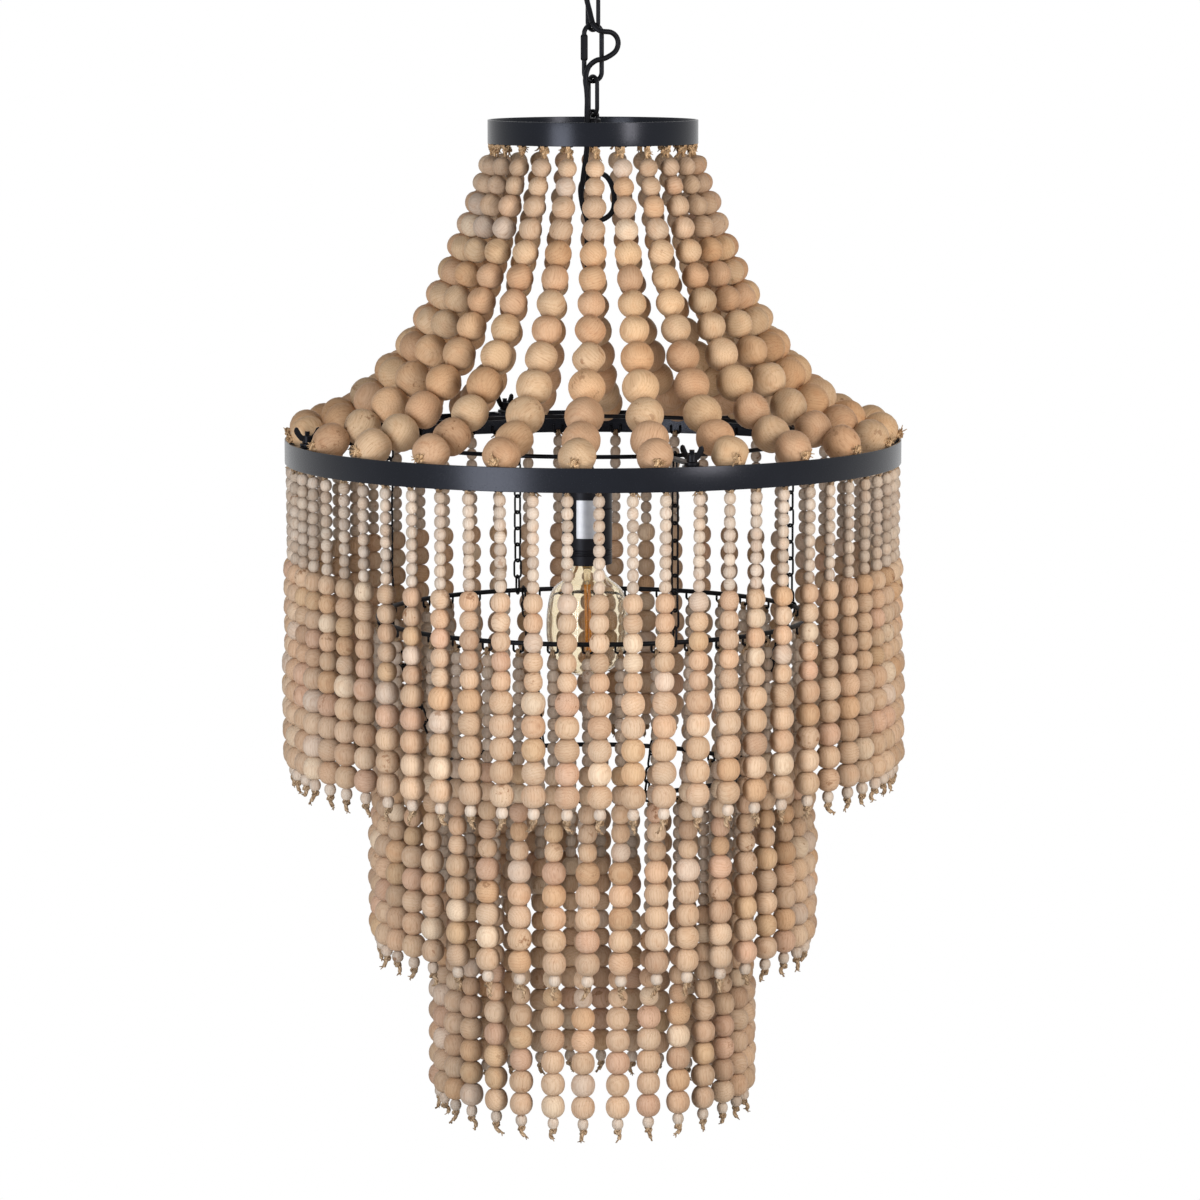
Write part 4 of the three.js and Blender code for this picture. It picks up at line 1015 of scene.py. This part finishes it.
def ceiling_rose():
    low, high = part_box("ceiling_rose")
    radius, height = max(high.x, -low.y), high.z - low.z
    bottom_radius, thick, hole, flex_x = 34 * MM, 2 * MM, 2.9 * MM, -16 * MM
    shoulder = half(radius + bottom_radius) + thick
    outside = [(hole, -height), (bottom_radius, -height), (shoulder, -half(height)),
               (radius - 0.4 * MM, 0)]
    inside = [(radius - thick, 0), (shoulder - thick, -half(height)),
              (bottom_radius - thick, thick - height), (hole, thick - height)]
    profile = [(max(r, hole), min(max(z, -height), 0))
               for r, z in rounded(outside + inside, 5 * MM, 5)]
    rose = turned_piece("rose_cup", POWDER, "ceiling_fixing", "black_metal", "ceiling_rose",
                        profile, 96)

    # The flex's hole is drilled by a cylinder, which goes again.
    drill, drill_radius = Form(), 6.5 * MM
    turned(drill, [(drill_radius, -height - 5 * MM), (drill_radius, -height + 6 * MM)], 32,
           centre=(flex_x, 0, 0))
    tool = drill.item("drill")
    cut = rose.modifiers.new("flex_hole", "BOOLEAN")
    cut.object = tool
    cut.operation = "DIFFERENCE"
    cut.solver = "EXACT"
    bpy.context.view_layer.update()
    graph = bpy.context.evaluated_depsgraph_get()
    drilled = bpy.data.meshes.new_from_object(rose.evaluated_get(graph))
    rose.modifiers.clear()
    rose.data = drilled
    bpy.data.objects.remove(tool)

    grommet = Form()
    ring = circle(Vector((flex_x, 0, half(thick) - height)), sideways(0), sideways(90), 5.6 * MM)
    tube(grommet, ring, 0.85 * MM, 10, closed=True)
    grommet.piece("flex_grommet", PVC, "ceiling_fixing", "flex")


def ceiling_hook():
    bowl, wire, lowest, root, hook_turn = 9 * MM, 5 * MM, -74.9 * MM, -3.3 * MM, -20
    centre_z, shank_z = lowest + bowl, lowest + 2 * bowl
    turns = [radians(turn) for turn in range(-100, 101, 25)]
    path = [(0, -bowl * sin(turn), centre_z - bowl * cos(turn)) for turn in turns]
    path += [(0, -half(bowl), shank_z - half(wire)), (0, 0, shank_z + wire),
             (0, 0, shank_z + 2 * wire), (0, 0, half(shank_z + wire - 3 * MM)), (0, 0, root)]
    path = [at(hook_turn, -y, z, x) for x, y, z in smooth_path(path, 6)]
    hook = Form()
    tube(hook, path, half(wire), 14)
    hook.piece("screw_hook", BLACK_WIRE, "ceiling_fixing", "black_metal", "ceiling_hook")


def rose_collar():
    low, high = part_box("rose_collar")
    bore = 2.9 * MM
    corners = [(bore, low.z), (high.x, low.z), (high.x, high.z), (bore, high.z)]
    turned_piece("rose_collar_ring", POWDER, "ceiling_fixing", "black_metal", "rose_collar",
                 rounded(corners, 1.2 * MM), 40)


# Lamp

lamp_centre = Vector((lamp_axis.x, lamp_axis.y, 0))
lamp_low, lamp_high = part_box("lampholder_cap")
holder_radius = half(lamp_high.x - lamp_low.x)


def lampholder():
    flex_bore, inner = half(flex_diameter) + 0.35 * MM, holder_radius - 2 * MM
    low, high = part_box("cord_grip")
    radius = half(high.x - low.x)
    profile = [(flex_bore, low.z), (radius, low.z), (radius * 0.94, low.z + 2 * MM)]
    for rib in range(6):
        z = low.z + (3 + 2 * rib) * MM
        profile += [((8.2 - 0.55 * rib) * MM, z), ((7.4 - 0.5 * rib) * MM, z + 1 * MM)]
    profile += [(4.6 * MM, high.z), (flex_bore, high.z)]
    turned_piece("ribbed_cord_grip", RESIN, "lamp", "black_plastic", "cord_grip", profile, 32,
                 lamp_centre)

    top, bottom, radius = lamp_high.z, lamp_low.z, holder_radius
    profile = [(flex_bore, top), (12.4 * MM, top), (14 * MM, top - 0.5 * MM),
               (18.6 * MM, top - 1.9 * MM), (21.8 * MM, top - 3.6 * MM),
               (radius - 0.2 * MM, top - 6.5 * MM), (radius, top - 9 * MM),
               (radius, bottom + 0.6 * MM), (radius - 0.5 * MM, bottom), (inner, bottom),
               (inner, top - 8 * MM), (12 * MM, top - 2.6 * MM), (flex_bore, top - 2 * MM)]
    turned_piece("lampholder_dome", RESIN, "lamp", "black_plastic", "lampholder_cap", profile, 64,
                 lamp_centre)

    low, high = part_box("lampholder_sleeve")
    profile = [(inner, low.z), (radius - 0.4 * MM, low.z), (radius, low.z + 0.5 * MM)]
    for i in range(3):
        z, groove = low.z + (9 + 2.2 * i) * MM, radius - 0.7 * MM
        profile += [(radius, z), (groove, z + 0.5 * MM), (groove, z + 1 * MM),
                    (radius, z + 1.5 * MM)]
    profile += [(radius, high.z - 0.5 * MM), (radius - 0.5 * MM, high.z), (inner, high.z)]
    turned_piece("lampholder_tube", RESIN, "lamp", "black_plastic", "lampholder_sleeve", profile,
                 64, lamp_centre)


def blank_label():
    """A thin foil patch, bent round the lampholder's front."""
    bottom, height, half_turn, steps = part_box("lampholder_sleeve")[0].z + 26 * MM, 36 * MM, 25, 16
    outer, inner = holder_radius + 0.12 * MM, holder_radius + 0.02 * MM
    points = [lamp_centre + at(half_turn * (2 * i / steps - 1), face, z)
              for z in (bottom, bottom + height) for face in (outer, inner)
              for i in range(steps + 1)]
    # Four rows of points: low outer, low inner, high outer, high inner
    low_in, high_out, high_in = (row * (steps + 1) for row in (1, 2, 3))
    faces = []
    for i in range(steps):
        faces += [(i, i + 1, high_out + i + 1, high_out + i),
                  (low_in + i + 1, low_in + i, high_in + i, high_in + i + 1),
                  (i + 1, i, low_in + i, low_in + i + 1),
                  (high_out + i, high_out + i + 1, high_in + i + 1, high_in + i)]
    faces += [(low_in, high_in, high_out, 0),
              (steps, high_out + steps, high_in + steps, low_in + steps)]
    foil = Form()
    foil.add(points, faces)
    foil.piece("blank_foil_label", FOIL, "lamp", "zinc")


def porcelain_insert():
    low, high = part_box("lampholder_insert")
    reach, socket, floor_z, core = half(high.x - low.x) * 0.99, 14.5 * MM, low.z + 30 * MM, 0.5 * MM
    profile = [(core, floor_z), (socket, floor_z), (socket, low.z + 0.5 * MM),
               (socket + 0.5 * MM, low.z), (reach - 0.6 * MM, low.z), (reach, low.z + 0.6 * MM),
               (reach, high.z - 1 * MM), (reach - 1 * MM, high.z), (core, high.z)]
    turned_piece("porcelain_insert", PORCELAIN, "lamp", "ceramic", "lampholder_insert", profile,
                 48, lamp_centre, hollow=False)


def bulb():
    low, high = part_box("bulb_cap")
    rim, pitch, depth, steps, core = 13.1 * MM, 3.6 * MM, 0.6 * MM, 36, 0.5 * MM
    top = high.z - 4 * MM
    profile = [(core, low.z), (rim - 0.5 * MM, low.z), (rim - 0.3 * MM, low.z + 2.4 * MM)]
    for i in range(steps + 1):
        z = 3 * MM + (top - low.z - 5 * MM) * i / steps
        profile.append((rim - 0.7 * MM + depth * cos(2 * pi * z / pitch), low.z + z))
    profile += [(rim - 1.6 * MM, top), (6 * MM, top + 2.2 * MM), (4.6 * MM, top + 2.4 * MM),
                (4.4 * MM, high.z - 0.6 * MM), (3 * MM, high.z), (core, high.z)]
    turned_piece("screw_cap", NICKEL, "bulb", "brass", "bulb_cap", profile, 48, lamp_centre,
                 hollow=False)

    # The globe: radius and depth below its neck, in millimetres. The last point is past its foot.
    glass_top, thick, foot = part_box("bulb_glass")[1].z, 0.9 * MM, 0.05 * MM
    outline = [(13, 0), (14, 4.5), (18.8, 14.5), (32.8, 27), (37.5, 45.5), (38.5, 60.5),
               (37.6, 76.5), (31.4, 95.3), (21, 103.8), (0, 110.3), (-21, 103.8)]
    curve = np.array(smooth_path(outline, 6))[:-6] * MM
    curve[-1, 0] = foot
    runs = np.gradient(curve, axis=0)
    inward = np.column_stack([-runs[:, 1], runs[:, 0]]) / np.linalg.norm(runs, axis=1)[:, None]
    lining = curve + inward * thick
    lining[0, 1] = 0
    lining[:, 0] = np.maximum(lining[:, 0], foot)
    profile = [(r, glass_top - depth) for r, depth in [*curve, *lining[::-1]]]
    turned_piece("globe_glass", GLASS, "bulb", "amber_glass", "bulb_glass", profile[::-1], 72,
                 lamp_centre, sharp=60)


def filament():
    low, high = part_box("bulb_filament")
    flare = [(0.5, 0), (9.4, 0.5), (5.2, 4), (3.6, 9), (3, 18), (1.6, 22), (1.2, 30), (0.4, 31)]
    stem = Form()
    profile = [(r * MM, high.z - depth * MM) for r, depth in flare[::-1]]
    turned(stem, profile, 32, centre=lamp_centre)
    stem.piece("glass_stem", GLASS, "bulb", "amber_glass")
    sticks, wires = Form(), Form()
    wire_top, stick_top, spread, lean = high.z - 19 * MM, high.z - 22.5 * MM, 2.4 * MM, 1.5 * MM
    for turn in (45, 135, 225, 315):
        top = lamp_centre + UP * stick_top + sideways(turn) * spread
        bottom = Vector((top.x + lean, top.y, low.z + 1 * MM))
        tube(sticks, [top.lerp(bottom, t) for t in (0, 0.33, 0.67, 1)], 1.5 * MM, 8)
        start = lamp_centre + UP * wire_top
        tube(wires, [start, half(start + top) + UP * MM, top], 0.3 * MM, 5)
    sticks.piece("filament_sticks", PHOSPHOR, "bulb", "filament", "bulb_filament")
    wires.piece("filament_wires", ZINC, "bulb", "zinc")


def kept_nodes():
    """CAD pieces whose shape is already right only get their finish."""
    for name, material in (("ceiling_plate", ZINC), ("top_cross_bar", POWDER),
                           ("cord_clip", POWDER), ("hub_nut", BLACK_WIRE)):
        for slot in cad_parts[name].material_slots:
            slot.material = material


camera()
flex()
surroundings()
soft_boxes()
ground()
canopy()
tiers()
hoops()
wing_nuts()
hanging_chain()
small_chains()
hub()
ceiling_rose()
ceiling_hook()
rose_collar()
lampholder()
blank_label()
porcelain_insert()
bulb()
filament()
kept_nodes()
